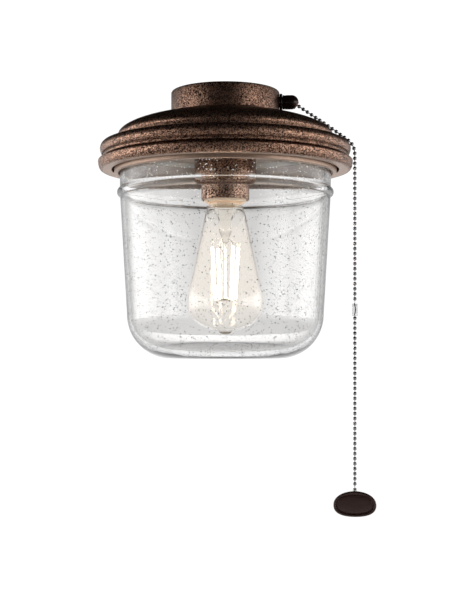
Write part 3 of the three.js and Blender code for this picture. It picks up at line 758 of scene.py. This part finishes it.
def pan_outline():
    """The pan's outside, from the hole in its top to the lip's inner edge."""
    ring, (width, height) = RING["centre"], RING["size"]
    under = (ring[0] + width - GROOVE_R, ring[1] - GROOVE_Z)
    underside = []
    for step in range(37):
        degrees = -2 * step
        depth = ring_crease(degrees)
        angle = math.radians(degrees)
        underside.append((
            GROOVE_R + (under[0] - depth) * math.cos(angle),
            ring[1] + (under[1] - depth) * math.sin(angle),
        ))
    torus = PAN_HIGH.x - GROOVE_R
    return [
        (NIPPLE_HOLE, PAN_HIGH.z),
        *bezier((PAN_LAND_R, PAN_HIGH.z), DOME_PULL, DOME_END, 40),
        *arc((DOME_END[0] + 1, COVE_Z + 0.8), (1.9, 1.5), 170, 275, 8),
        *arc(ring, (width, height), 112, 2, 24),
        *underside,
        *arc((GROOVE_R, TORUS_Z), (torus, GROOVE_Z + 0.2 - TORUS_Z), 56, 0, 14),
        *arc((LIP_OUTER, TORUS_Z), (PAN_HIGH.x - LIP_OUTER, TORUS_Z - PAN_LOW.z - 0.1), -6, -84, 16),
        (LIP_OUTER - 1.2, PAN_LOW.z),
        (LIP_INNER + 0.5, PAN_LOW.z),
        *round_arc(LIP_INNER + 0.5, PAN_LOW.z + 0.5, 0.5, -110, -180, 3),
    ]


def pan_inside():
    """From the lip's inner edge back to the hole."""
    ring_z, torus_r = RING["centre"][1], PAN_HIGH.x - 2.4
    dome = bezier((PAN_LAND_R, PAN_HIGH.z), DOME_PULL, DOME_END, 20)
    return [
        (LIP_INNER, PAN_LOW.z + 1.4), (LIP_OUTER - 1.5, PAN_LOW.z + 1.5), (torus_r, TORUS_Z - 1.5),
        (torus_r, TORUS_Z), (LIP_OUTER - 5.5, GROOVE_Z - 0.6), (LIP_OUTER - 2.8, ring_z - 3.5),
        (LIP_OUTER - 0.6, ring_z), (LIP_OUTER - 4, COVE_Z - 2.2), (DOME_END[0] - 1.8, COVE_Z - 1.8),
        *[(r - 1.2, z - PAN_WALL) for r, z in reversed(dome)],
        (NIPPLE_HOLE, PAN_HIGH.z - PAN_WALL),
    ]


def add_pan():
    """The pan, whose plain lip underneath has a smoother coat."""
    profile = pan_outline() + pan_inside()
    pan = turned("stepped_pan", profile, "housing", "copper", sharp=50)
    pan.data.materials.append(MATERIALS["lip"])
    for face in pan.data.polygons:
        radius = math.hypot(face.center.x, face.center.y) / MM
        if face.normal.z < -0.85 and radius < LIP_OUTER - 0.6 and face.center.z / MM < PAN_LOW.z + 0.4:
            face.material_index = 1
    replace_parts(pan, "lid_pan")


def add_fitter():
    """The cup that holds the jar, with a hem turned in at its lower edge."""
    r, wall, top, bottom = FITTER_HIGH.x, FITTER_WALL, FITTER_HIGH.z, FITTER_LOW.z
    hem = FITTER_HEM_R
    profile = [
        (NIPPLE_HOLE, top), (NIPPLE_HOLE, top - wall), (87, top - wall), (r - wall, top - 6),
        (r - wall, bottom + wall), (hem, bottom + wall),
        *round_arc(hem + 0.6, bottom + 0.6, 0.6, 180, 270, 4),
        *round_arc(r - 0.8, bottom + 0.8, 0.8, -90, 0, 5),
        (r, top - 5),
        *round_arc(r - 5.6, top - 5.6, 5.6, 10, 86, 8),
    ]
    fitter = turned("jar_fitter", profile, "housing", "thin_coat")
    fitter.data.materials.append(MATERIALS["lip"])
    for face in fitter.data.polygons:
        outward = face.normal.xy.dot(face.center.xy.normalized())
        if face.center.xy.length / MM > hem - 1 and (outward > 0.3 or face.normal.z < -0.5):
            face.material_index = 1
    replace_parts(fitter, "fitter_pan")


# ---------- glass jar with its seeds ----------
NECK_R = 88.85
JAR_WALL = 3.2
JAR_FLOOR = 5
CORNER = {"r": 45.9, "z": -187.5, "radius": 37}
LUG = {"top": -63.7, "bottom": -67.7, "half": 7, "proud": 2.7, "turns": (90, 210, 330)}
SEEDS = 3800
BUBBLES = 26
# A bubble lies in the floor, the corner, the neck or the wall: where each share of all the bubbles ends
FLOOR_SHARE = 0.1
CORNER_SHARE = 0.3
NECK_SHARE = 0.37
CALM_OVER_R = NECK_R - 2  # beyond it, on the outside of the neck and the wall below, the waves are weaker


def jar_outside():
    """From the floor's middle up to the rim."""
    body_top = BEAD["z"] - BEAD["half"]
    centre = (CORNER["r"], CORNER["z"])
    size = (CORNER["radius"], CORNER["radius"])
    foot = centre[0] + size[0]
    neck_end = BEAD["z"] + BEAD["half"]
    return [
        *line((0, JAR_LOW.z), (CORNER["r"], JAR_LOW.z), 8)[:-1],
        *arc(centre, size, -90, 0, 28),
        *line((foot, centre[1]), (NECK_R - 0.25, body_top), 24)[1:],
        *arc((NECK_R - 0.1, BEAD["z"]), (BEAD["proud"], BEAD["half"] - 0.8), -78, 78, 14),
        *line((NECK_R, neck_end), (NECK_R, LUG["bottom"] - 0.4), 6),
        *[(NECK_R, z) for z in (LUG["bottom"], LUG["top"], LUG["top"] + 0.4)],
        *round_arc(NECK_R - 1.2, JAR_HIGH.z - 1.2, 1.2, 15, 90, 4),
    ]


def jar_inside():
    """From the rim down to the floor's middle."""
    r = NECK_R - JAR_WALL
    centre = (CORNER["r"], CORNER["z"])
    floor = JAR_LOW.z + JAR_FLOOR
    height = centre[1] - floor
    width = CORNER["radius"] - JAR_WALL
    foot = centre[0] + width
    body_top = BEAD["z"] - BEAD["half"]
    return [
        *round_arc(r + 1, JAR_HIGH.z - 1, 1, 100, 180, 4),
        *line((r, JAR_HIGH.z - 2), (r, BEAD["z"] + 4), 8),
        *[(r + 0.9 * math.sin(math.pi * t / 8), BEAD["z"] + 3 - 6 * t / 8) for t in range(1, 8)],
        *line((r - 0.3, body_top), (foot, centre[1]), 24)[:-1],
        *arc(centre, (width, height), 0, -90, 28),
        *line((CORNER["r"], floor), (0, floor), 8)[1:],
    ]


def jar_shift(r, z, angle):
    """Small waves of hand-made glass, and three bayonet lugs on the neck that the fitter's hem holds."""
    if r > NECK_R - 0.01 and LUG["bottom"] <= z <= LUG["top"]:
        away = min(abs((math.degrees(angle) - turn + 180) % 360 - 180) for turn in LUG["turns"])
        if away < LUG["half"]:
            return LUG["proud"]
    x, y = r * math.cos(angle), r * math.sin(angle)
    size = 0.08 if r < CALM_OVER_R else 0.04
    return size * noise.noise(Vector((x / 16, y / 16, z / 22)))


def wall_place(draw):
    """A random place in the jar's glass, in millimetres, with more of them low down, and the way up there."""
    angle = draw.uniform(0, 2 * math.pi)
    depth = draw.uniform(0.25, 0.75)
    pick = draw.random()
    if pick < FLOOR_SHARE:
        r = math.sqrt(draw.random()) * CORNER["r"]
        z = JAR_LOW.z + JAR_FLOOR * depth
        up = Vector((math.cos(angle), math.sin(angle), 0))
    elif pick < CORNER_SHARE:
        bend = math.radians(draw.uniform(-90, 0))
        reach = CORNER["radius"] - (JAR_WALL + 0.8 * -math.sin(bend)) * depth
        r = CORNER["r"] + reach * math.cos(bend)
        z = CORNER["z"] + reach * math.sin(bend)
        inward = -math.sin(bend)
        up = Vector((inward * math.cos(angle), inward * math.sin(angle), math.cos(bend)))
    else:
        foot_z, rim_z = CORNER["z"], JAR_HIGH.z - 3
        if pick < NECK_SHARE:
            z = draw.uniform(BEAD["z"], rim_z)
        else:
            z = foot_z + (rim_z - foot_z) * draw.random() ** 1.25
        foot = CORNER["r"] + CORNER["radius"]
        slope = min(1, (z - foot_z) / (BEAD["z"] - foot_z))
        r = foot + (NECK_R - foot) * slope - JAR_WALL * depth
        up = Vector((0, 0, 1))
    return Vector((r * math.cos(angle), r * math.sin(angle), z)), up


def bubbles(name, count, seed, small, large, stretch, detail):
    """Many small round or drawn-out bubbles in one mesh."""
    draw = random.Random(seed)
    ball = template(bmesh.ops.create_icosphere, subdivisions=detail, radius=1)
    placed = []
    for _ in range(count):
        place, up = wall_place(draw)
        size = small + (large - small) * draw.random() ** 2
        placed.append((ball, facing(place, up, (size, size, size * draw.uniform(1, stretch)))))
    return copies(name, placed)


def add_jar():
    """The jar, with small dark seeds and a few larger clear bubbles in its glass."""
    mesh = turned_mesh("jar_glass", jar_outside() + jar_inside(), LARGE_TURN, jar_shift)
    jar = new_piece("jar_glass", mesh, "jar", "jar", 60)
    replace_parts(jar, "glass_jar")
    seeds = bubbles("jar_seeds", SEEDS, seed=11, small=0.36, large=0.54, stretch=1.1, detail=1)
    new_piece("jar_seeds", seeds, "jar", "seeds", 180)
    hollow = bubbles("jar_bubbles", BUBBLES, seed=5, small=0.5, large=1.0, stretch=3.5, detail=3)
    hollow.flip_normals()
    new_piece("jar_bubbles", hollow, "jar", "jar", 180)


# ---------- socket cup and lampholder ----------
CUP_WALL = 1.2
CUP_STEP_Z = -72.2  # where the cup narrows
CUP_NARROW_R = 20.25
HOLDER_BORE = 14.7
HOLDER_FLOOR_Z = -66.5


def add_socket_cup():
    top, bottom, wide = CUP_HIGH.z, CUP_LOW.z, CUP_HIGH.x
    wall, step, narrow = CUP_WALL, CUP_STEP_Z, CUP_NARROW_R
    cup = turned("lamp_cup", [
        (NIPPLE_HOLE, top), (NIPPLE_HOLE, top - wall), (wide - 2.2, top - wall), (wide - wall, top - 2.2),
        (wide - wall, step + wall), (narrow - wall, step + wall), (narrow - wall, bottom + 0.3),
        (narrow - wall + 0.3, bottom), (narrow - 0.3, bottom), (narrow, bottom + 0.3),
        *round_arc(narrow + 0.8, step - 0.8, 0.8, 180, 90, 4),
        *round_arc(wide - 0.9, step + 0.9, 0.9, -90, 0, 5),
        *round_arc(wide - 1.6, top - 1.6, 1.6, 0, 90, 6),
    ], "housing", "copper", SMALL_TURN * 2)
    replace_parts(cup, "socket_cup")


def add_lampholder():
    r, bore, low, high = HOLDER_HIGH.x, HOLDER_BORE, HOLDER_LOW.z, HOLDER_HIGH.z
    edge = 0.9
    holder = turned("lamp_holder_body", [
        (0, HOLDER_FLOOR_Z), (bore, HOLDER_FLOOR_Z), (bore, low + edge),
        *round_arc(bore + edge, low + edge, edge, 180, 270, 5),
        *round_arc(r - edge, low + edge, edge, -90, 0, 5),
        (r, low + 3.0),
        *round_arc(r - 0.5, low + 3.1, 0.5, 10, 90, 3),
        (r - 0.5, high - 1), (r - 1.5, high), (NIPPLE_HOLE, high), (NIPPLE_HOLE, high - 5), (0, high - 5),
    ], "housing", "cream", SMALL_TURN)
    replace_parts(holder, "lampholder")


# ---------- lamp ----------
SHOULDER = [
    (32.1, -179.6), (31.1, -168), (27, -150), (21.5, -124.6), (17.6, -105.5), (14.9, CAP_LOW.z - 0.5),
]
BOWL_DEPTH = 24.2  # from the widest place down to where the bowl would end without its tip
BULB_NECK_R = 13.2
BULB_WALL = 0.8
CAP_R = 13.1
THREAD_PITCH = 4.2
FILAMENT_TURN = 35
FILAMENT_R = 1.1
FILAMENT_TOP = (12.6, -131)  # radius and height
FILAMENT_BOTTOM = (9.8, -174)
FILAMENT_LEAD = [(5.04, -124.5), (3.6, -124)]  # where a lead wire goes into the stem, as radius and height
HUB_R, HUB_BOTTOM, HUB_TOP = 10.9, -176.2, -174.6
HUB_ROD_R, HUB_ROD_TOP = 0.8, -128.4


def spline(points, steps):
    """A smooth curve through points in a plane or in space, with steps between each two."""
    known = [Vector(p) for p in points]
    ends = [2 * known[0] - known[1], *known, 2 * known[-1] - known[-2]]
    made = []
    for a, b, c, d in zip(ends, ends[1:], ends[2:], ends[3:]):
        for i in range(steps):
            t = i / steps
            made.append(0.5 * (2 * b + (c - a) * t + (2 * a - 5 * b + 4 * c - d) * t ** 2
                               + (3 * b - a - 3 * c + d) * t ** 3))
    return made + [known[-1]]


def add_envelope():
    """The lamp's clear glass: a neck in the cap, a long shoulder, a bowl and an exhaust tip."""
    wide, neck, neck_top, cap = SHOULDER[0], BULB_NECK_R, BULB_HIGH.z, CAP_LOW.z
    bowl = arc((0, wide[1]), (wide[0], BOWL_DEPTH), -74, 0, 22)
    shoulder = [tuple(p) for p in spline(SHOULDER, 8)][1:]
    tip = BULB_LOW.z
    outside = [
        (0, tip), *arc((0, tip + 3.2), (5.4, 3.2), -80, -20, 6), (6.6, tip + 3.6), *bowl, *shoulder,
        (neck, cap - 0.3), (neck, cap + 1.2), (neck - 2.1, cap + 2.7), (neck - 2.1, neck_top),
    ]
    inside = [
        (neck - 2.9, neck_top), (neck - 2.9, cap + 2.3),
        *[(r - BULB_WALL, z) for r, z in reversed(shoulder)],
        *[(max(0.05, r - BULB_WALL), z + BULB_WALL * 0.7) for r, z in reversed(bowl)],
        (0, tip + 5.0),
    ]
    glass = turned("lamp_envelope", outside + inside, "bulb", "lamp", 128, sharp=60)
    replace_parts(glass, "bulb_glass")


def add_stem():
    """A glass funnel with a pressed end, which carries the filaments."""
    stem = turned("lamp_stem", rounded([
        (0, -128), (2.2, -127), (3.4, -122), (5.6, -117), (5.6, -108), (9, -100),
        (9, -88), (8, -88), (8, -99), (4.6, -107), (4.2, -115), (0, -118),
    ], 1.2), "bulb", "stem", SMALL_TURN, sharp=60)
    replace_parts(stem, "bulb_stem")


def add_filament_hub():
    """The disc under the filaments, on a rod from the stem."""
    r, low, high, edge = HUB_R, HUB_BOTTOM, HUB_TOP, 0.3
    hub = turned("filament_hub", [
        (0, low), (r - edge, low), (r, low + edge), (r, high - edge), (r - edge, high),
        (HUB_ROD_R, high), (HUB_ROD_R, HUB_ROD_TOP), (0, HUB_ROD_TOP),
    ], "bulb", "nickel", SMALL_TURN)
    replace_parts(hub, "filament_foot")


def add_bulb_base():
    """The screw cap, with its rolled thread."""
    skirt, r, top, bottom = CAP_HIGH.x, CAP_R, CAP_HIGH.z, CAP_LOW.z
    wave = 0.45
    threads = []
    for step in range(33):
        share = step / 8
        out = r - wave - wave * math.cos(2 * math.pi * share)
        threads.append((out, bottom + THREAD_PITCH * (1 + share)))
    base = turned("lamp_base", [
        (skirt - 0.6, bottom), (skirt, bottom), (skirt - 0.3, bottom + 2), (r - 0.9, bottom + 3.4), *threads,
        (r - 0.9, top - 1), (r - 2, top), (r - 2.6, top), (r - 1.7, top - 1.2), (r - 1.7, bottom + 3.4),
        (skirt - 0.9, bottom + 2),
    ], "bulb", "cap", SMALL_TURN)
    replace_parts(base, "bulb_base")


def add_filament(number):
    """A straight stick with bevelled ends, and its lead wire."""
    degrees = FILAMENT_TURN + 90 * (number - 1)
    top = Vector((*on_circle(FILAMENT_TOP[0], degrees), FILAMENT_TOP[1]))
    bottom = Vector((*on_circle(FILAMENT_BOTTOM[0], degrees), FILAMENT_BOTTOM[1]))
    half = (top - bottom).length / 2
    stick = turned_mesh("stick", [
        (0, -half), (FILAMENT_R * 0.7, -half), (FILAMENT_R, -half + 0.4), (FILAMENT_R, half - 0.4),
        (FILAMENT_R * 0.7, half), (0, half),
    ], 24)
    stick.transform(facing((top + bottom) / 2 * MM, top - bottom))
    piece = new_piece(f"filament_stick_{number}", stick, "bulb", "phosphor")
    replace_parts(piece, f"filament_{number}")
    route = [
        (top.x, top.y, top.z + 0.4), (top.x * 0.9, top.y * 0.9, top.z + 3.5),
        *[(*on_circle(radius, degrees), z) for radius, z in FILAMENT_LEAD],
    ]
    wire = rod_along(f"filament_lead_{number}", [tuple(p) for p in spline(route, 6)], 0.35)
    lead = new_piece(f"filament_lead_{number}", wire, "bulb", "nickel")
    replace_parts(lead, f"filament_wire_{number}")


def rod_along(name, points, radius):
    """A round wire along a line of points, with a ball at each joint."""
    straight = rod(radius, ROD_TURN)
    knob = template(bmesh.ops.create_icosphere, subdivisions=2, radius=radius)
    placed = []
    for a, b in zip(points, points[1:]):
        placed.append((straight, between(Vector(a), Vector(b))))
        placed.append((knob, Matrix.Translation(b)))
    return copies(name, placed)


# ---------- chain ----------
BEAD_R = 1.6
LINK_R = 0.38
PITCH = 4.2
DROP_X = 108.8
# The chain's own path out of the nozzle, down the dome and over the pan's edge
LEAD_ROUTE = [
    (54.5, 0, -7.6),
    (60.9, 0, -12.0),
    (68, 0, -16.87),
    (76, 0, -22.36),
    (84, 0, -27.85),
    (92, 0, -33.45),
    (98, 0, -37.92),
    (103.25, 0, -41.85),
    (105.65, 0, -44.15),
    (107.35, 0, -46.8),
    (108.5, 0, -50.0),
    (DROP_X, 0, -53.15),
]
FOB_WAIST = 9.8  # from the fob's lowest point up to its widest place
FOB_STEPS = 24  # along each quarter of its outline
DROP_STEP = 8


def line_down(top, bottom):
    return line((DROP_X, 0, top), (DROP_X, 0, bottom), round((top - bottom) / DROP_STEP))


def places_along(points, gap, first):
    """Places at even distances along a line of points, with the direction there."""
    made = []
    wanted = first
    passed = 0.0
    for a, b in zip(points, points[1:]):
        a, b = Vector(a), Vector(b)
        length = (b - a).length
        while wanted <= passed + length + 1e-9:
            made.append((a.lerp(b, (wanted - passed) / length), (b - a).normalized()))
            wanted += gap
        passed += length
    return made


def bead_chain(name, points, first):
    """Beads along a line of points, with a wire through them all from end to end, as one mesh."""
    bead = template(bmesh.ops.create_uvsphere, u_segments=20, v_segments=12, radius=BEAD_R)
    wire = rod(LINK_R, ROD_TURN)
    beads = places_along(points, PITCH, first)
    placed = [(bead, facing(place, along)) for place, along in beads]
    stops = [Vector(points[0]), *[place for place, _ in beads], Vector(points[-1])]
    placed += [(wire, between(a, b)) for a, b in zip(stops, stops[1:])]
    return copies(name, placed)


def add_chain():
    lead = [tuple(p) for p in spline(LEAD_ROUTE, 6)]
    upper = lead + line_down(LEAD_ROUTE[-1][2], COUPLING_HIGH.z)[1:]
    lower = line_down(COUPLING_LOW.z, FERRULE_HIGH.z)

    mesh = bead_chain("pull_chain", upper, 1.0)
    chain = new_piece("pull_chain", mesh, None, "chain", 60)
    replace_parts(chain, "chain_lead", "chain_drop_upper")
    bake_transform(chain)

    coupling = add_coupling()

    mesh = bead_chain("pull_chain_end", lower, PITCH * 0.5)
    end = new_piece("pull_chain_end", mesh, "chain_drop", "chain", 60)
    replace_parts(end, "chain_drop_lower")
    fob = add_fob()
    ferrule = add_ferrule()


def add_coupling():
    """A clear barrel with a rim at each end, and inside it the wire that joins the two chains."""
    top, bottom, r = COUPLING_HIGH.z, COUPLING_LOW.z, (COUPLING_HIGH.x - COUPLING_LOW.x) / 2
    bore, hollow = 0.9, 1.7
    mesh = turned_mesh("chain_coupling_shell", rounded([
        (bore, bottom), (r, bottom), (r, top), (bore, top),
        (bore, top - 0.8), (hollow, top - 1.3), (hollow, bottom + 1.3), (bore, bottom + 0.8),
    ], 0.5), CUT_TURN)
    shell = new_piece("chain_coupling_shell", moved(mesh, DROP_X), "chain_drop", "clear")
    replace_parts(shell, "chain_coupling")

    middle, reach = (top + bottom) / 2, (top - bottom) / 2 * 0.98
    route = []
    for t in range(13):
        bow = 0.9 * math.cos(math.pi * t / 12 - math.pi / 2) - 0.4
        route.append((bow, 0, middle + reach * (t / 6 - 1)))
    wire = moved(rod_along("chain_coupling_wire", route, 0.42), DROP_X)
    new_piece("chain_coupling_wire", wire, "chain_drop", "bronze")
    return shell


def add_ferrule():
    top, bottom = FERRULE_HIGH.z, FERRULE_LOW.z
    mesh = turned_mesh("fob_loop_ferrule", rounded([
        (0, bottom), (1.5, bottom), (1.9, bottom + 0.6), (1.8, bottom + 1.4), (1.2, top), (0, top),
    ], 0.3), 32)
    ferrule = new_piece("fob_loop_ferrule", moved(mesh, DROP_X), "fob", "nickel")
    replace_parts(ferrule, "fob_ferrule")
    return ferrule


def fob_outline(margin):
    """The fob's oval, flatter below, moved in by a margin. Each quarter is a cubic curve."""
    centre = (FOB_HIGH.x + FOB_LOW.x) / 2
    side = (FOB_HIGH.x - FOB_LOW.x) / 2 - margin
    top, bottom = FOB_HIGH.z - margin, FOB_LOW.z + margin
    waist = FOB_LOW.z + FOB_WAIST
    quarters = [
        ((0, top), (side * 0.56, top), (side, waist + 6.6), (side, waist)),
        ((side, waist), (side, bottom + 3.4), (side * 0.68, bottom), (0, bottom)),
    ]
    right = []
    for a, b, c, d in quarters:
        for i in range(FOB_STEPS):
            t = i / FOB_STEPS
            u = 1 - t
            right.append(tuple(u ** 3 * p + 3 * u * u * t * q + 3 * u * t * t * s + t ** 3 * e
                               for p, q, s, e in zip(a, b, c, d)))
    right.append((0, bottom))
    left = [(-x, z) for x, z in reversed(right[1:-1])]
    return [(centre + x, z) for x, z in right + left]


def add_fob():
    """An oval medallion with a rounded rim, a groove inside it and a gently domed face on both sides."""
    half = (FOB_HIGH.y - FOB_LOW.y) / 2
    # From the rim's edge to the domed centre: how far in from the edge, and how far under the rim's top
    section = [
        (0, 1.3), (0.12, 0.8), (0.4, 0.35), (0.9, 0.05), (1.4, 0), (1.9, 0.25), (2.2, 0.8), (2.45, 1.3),
        (2.75, 1.35), (3.1, 1.05), (4, 0.85), (6, 0.7), (8.5, 0.62),
    ]
    front = [(margin, half - depth) for margin, depth in section]
    levels = [(margin, -height) for margin, height in reversed(front)] + front
    work = bmesh.new()
    rings = []
    for margin, height in levels:
        rings.append([work.verts.new((x * MM, height * MM, z * MM)) for x, z in fob_outline(margin)])
    for a, b in zip(rings, rings[1:]):
        for i in range(len(a)):
            j = (i + 1) % len(a)
            work.faces.new((a[i], a[j], b[j], b[i]))
    work.faces.new(rings[0])
    work.faces.new(list(reversed(rings[-1])))
    bmesh.ops.triangulate(work, faces=[f for f in work.faces if len(f.verts) > 4])
    bmesh.ops.recalc_face_normals(work, faces=work.faces)
    mesh = bpy.data.meshes.new("pull_fob")
    work.to_mesh(mesh)
    work.free()
    fob = new_piece("pull_fob", mesh, "fob", "fob", 40)
    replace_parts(fob, "fob")
    return fob


# ---------- nozzle that the chain leaves by ----------
NOZZLE_R = 5.95
NOZZLE_BORE = 4.75
BORE_TURN = 60  # segments, fewer than outside so that the cut leaves no slivers
NOZZLE_BALL = 55.8  # centre of its round end, from the lamp's axis
NOZZLE_FACE = 4.6  # from there to the mouth's face
NOZZLE_SLOPE = math.radians(34.5)
MOUTH_R = 2.45
RIM_BORE, RIM_BACK_R, RIM_FRONT_R = 2.35, 3.6, 3.5  # the raised ring on the mouth's face
RIM_BACK, RIM_FRONT = 0.8, 0.7
FACE_CUT = 12
NUT_BORE = 4.8


def down_slope(mesh, x, z):
    """The mesh turned from Z to the chain's way down the dome."""
    turn = Matrix.Rotation(math.pi / 2 + NOZZLE_SLOPE, 4, "Y")
    mesh.transform(Matrix.Translation((x * MM, 0, z * MM)) @ turn)
    return mesh


def add_nozzle():
    """A short barrel with a round end, cut square to the chain and edged with a raised ring."""
    start, r, bore, ball = NOZZLE_BACK, NOZZLE_R, NOZZLE_BORE, NOZZLE_BALL
    barrel = along_x(turned_mesh("nozzle", [
        (0, start), (r - 0.5, start), (r - 0.1, start + 0.15), (r, start + 0.5), (r, start + 1.5),
        (r - 0.4, start + 1.7), (r - 0.4, start + 2.1), (r, start + 2.3), (r, ball - 0.6),
        *round_arc(0, ball, r, 4, 86, 20), (0, ball + r),
    ], SMALL_TURN))
    hollow = along_x(turned_mesh("hollow", [
        (0, start - 1), (bore, start - 1),
        *round_arc(0, ball, bore, 0, 84, 12), (0, ball + bore),
    ], BORE_TURN))
    face = down_slope(cylinder(FACE_CUT, NOZZLE_FACE, NOZZLE_FACE + FACE_CUT), ball, NOZZLE_Z)
    x, _, z = LEAD_ROUTE[1]
    mouth = down_slope(cylinder(MOUTH_R, -9, 6), x, z)
    mesh = carved(barrel, [hollow, mouth, face])
    nozzle = new_piece("nozzle_barrel", mesh, "housing", "bronze", 40)
    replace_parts(nozzle, "chain_nozzle")
    back, front = NOZZLE_FACE - RIM_BACK, NOZZLE_FACE + RIM_FRONT
    rim = down_slope(turned_mesh("nozzle_rim", rounded([
        (RIM_BORE, back), (RIM_BACK_R, back), (RIM_FRONT_R, front), (RIM_BORE, front),
    ], 0.5), CUT_TURN), ball, NOZZLE_Z)
    new_piece("nozzle_rim", rim, "housing", "edge")


def add_ring_nut():
    low, high, out = NUT_LOW.x, NUT_HIGH.x, (NUT_HIGH.z - NUT_LOW.z) / 2
    profile = rounded([(NUT_BORE, low), (out, low), (out, high), (NUT_BORE, high)], 0.5)
    nut = along_x(turned_mesh("nozzle_nut", profile, 96))
    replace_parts(new_piece("nozzle_nut", nut, "housing", "bronze"), "ring_nut")


# ---------- finishes of the CAD pieces that stay ----------
CARRIED = {
    "zinc": ["plate_nut_1", "plate_nut_2", "plate_nut_3", "upper_nut", "spacer_tube", "lock_washer",
             "lower_nut", "spool_pin", "return_spring", "switch_bushing"],
    "brass": ["threaded_nipple", "screw_shell", "centre_contact", "ratchet_spool", "contact_blade_1",
              "contact_blade_2"],
    "nickel": ["base_contact"],
    "black": ["switch_case", "switch_cover", "black_lead", "switched_lead", "base_insulator"],
    "white": ["supply_connector", "white_lead"],
    "green": ["ground_lead", "ground_screw"],
    "silicone": ["jar_gasket"],
    "chain": ["chain_tail"],
}


def finish_carried():
    for finish, names in CARRIED.items():
        for name in names:
            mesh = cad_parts[name].data
            mesh.materials.clear()
            mesh.materials.append(MATERIALS[finish])


add_camera()
add_chain()
add_studio()
add_collar()
add_plate()
for screw_number, screw_turn in enumerate(SCREWS, 1):
    add_screw(screw_number, screw_turn)
add_grommet()
add_nozzle()
add_ring_nut()
add_pan()
add_fitter()
add_jar()
add_socket_cup()
add_lampholder()
add_envelope()
add_stem()
add_bulb_base()
for filament_number in range(1, 5):
    add_filament(filament_number)
add_filament_hub()
finish_carried()
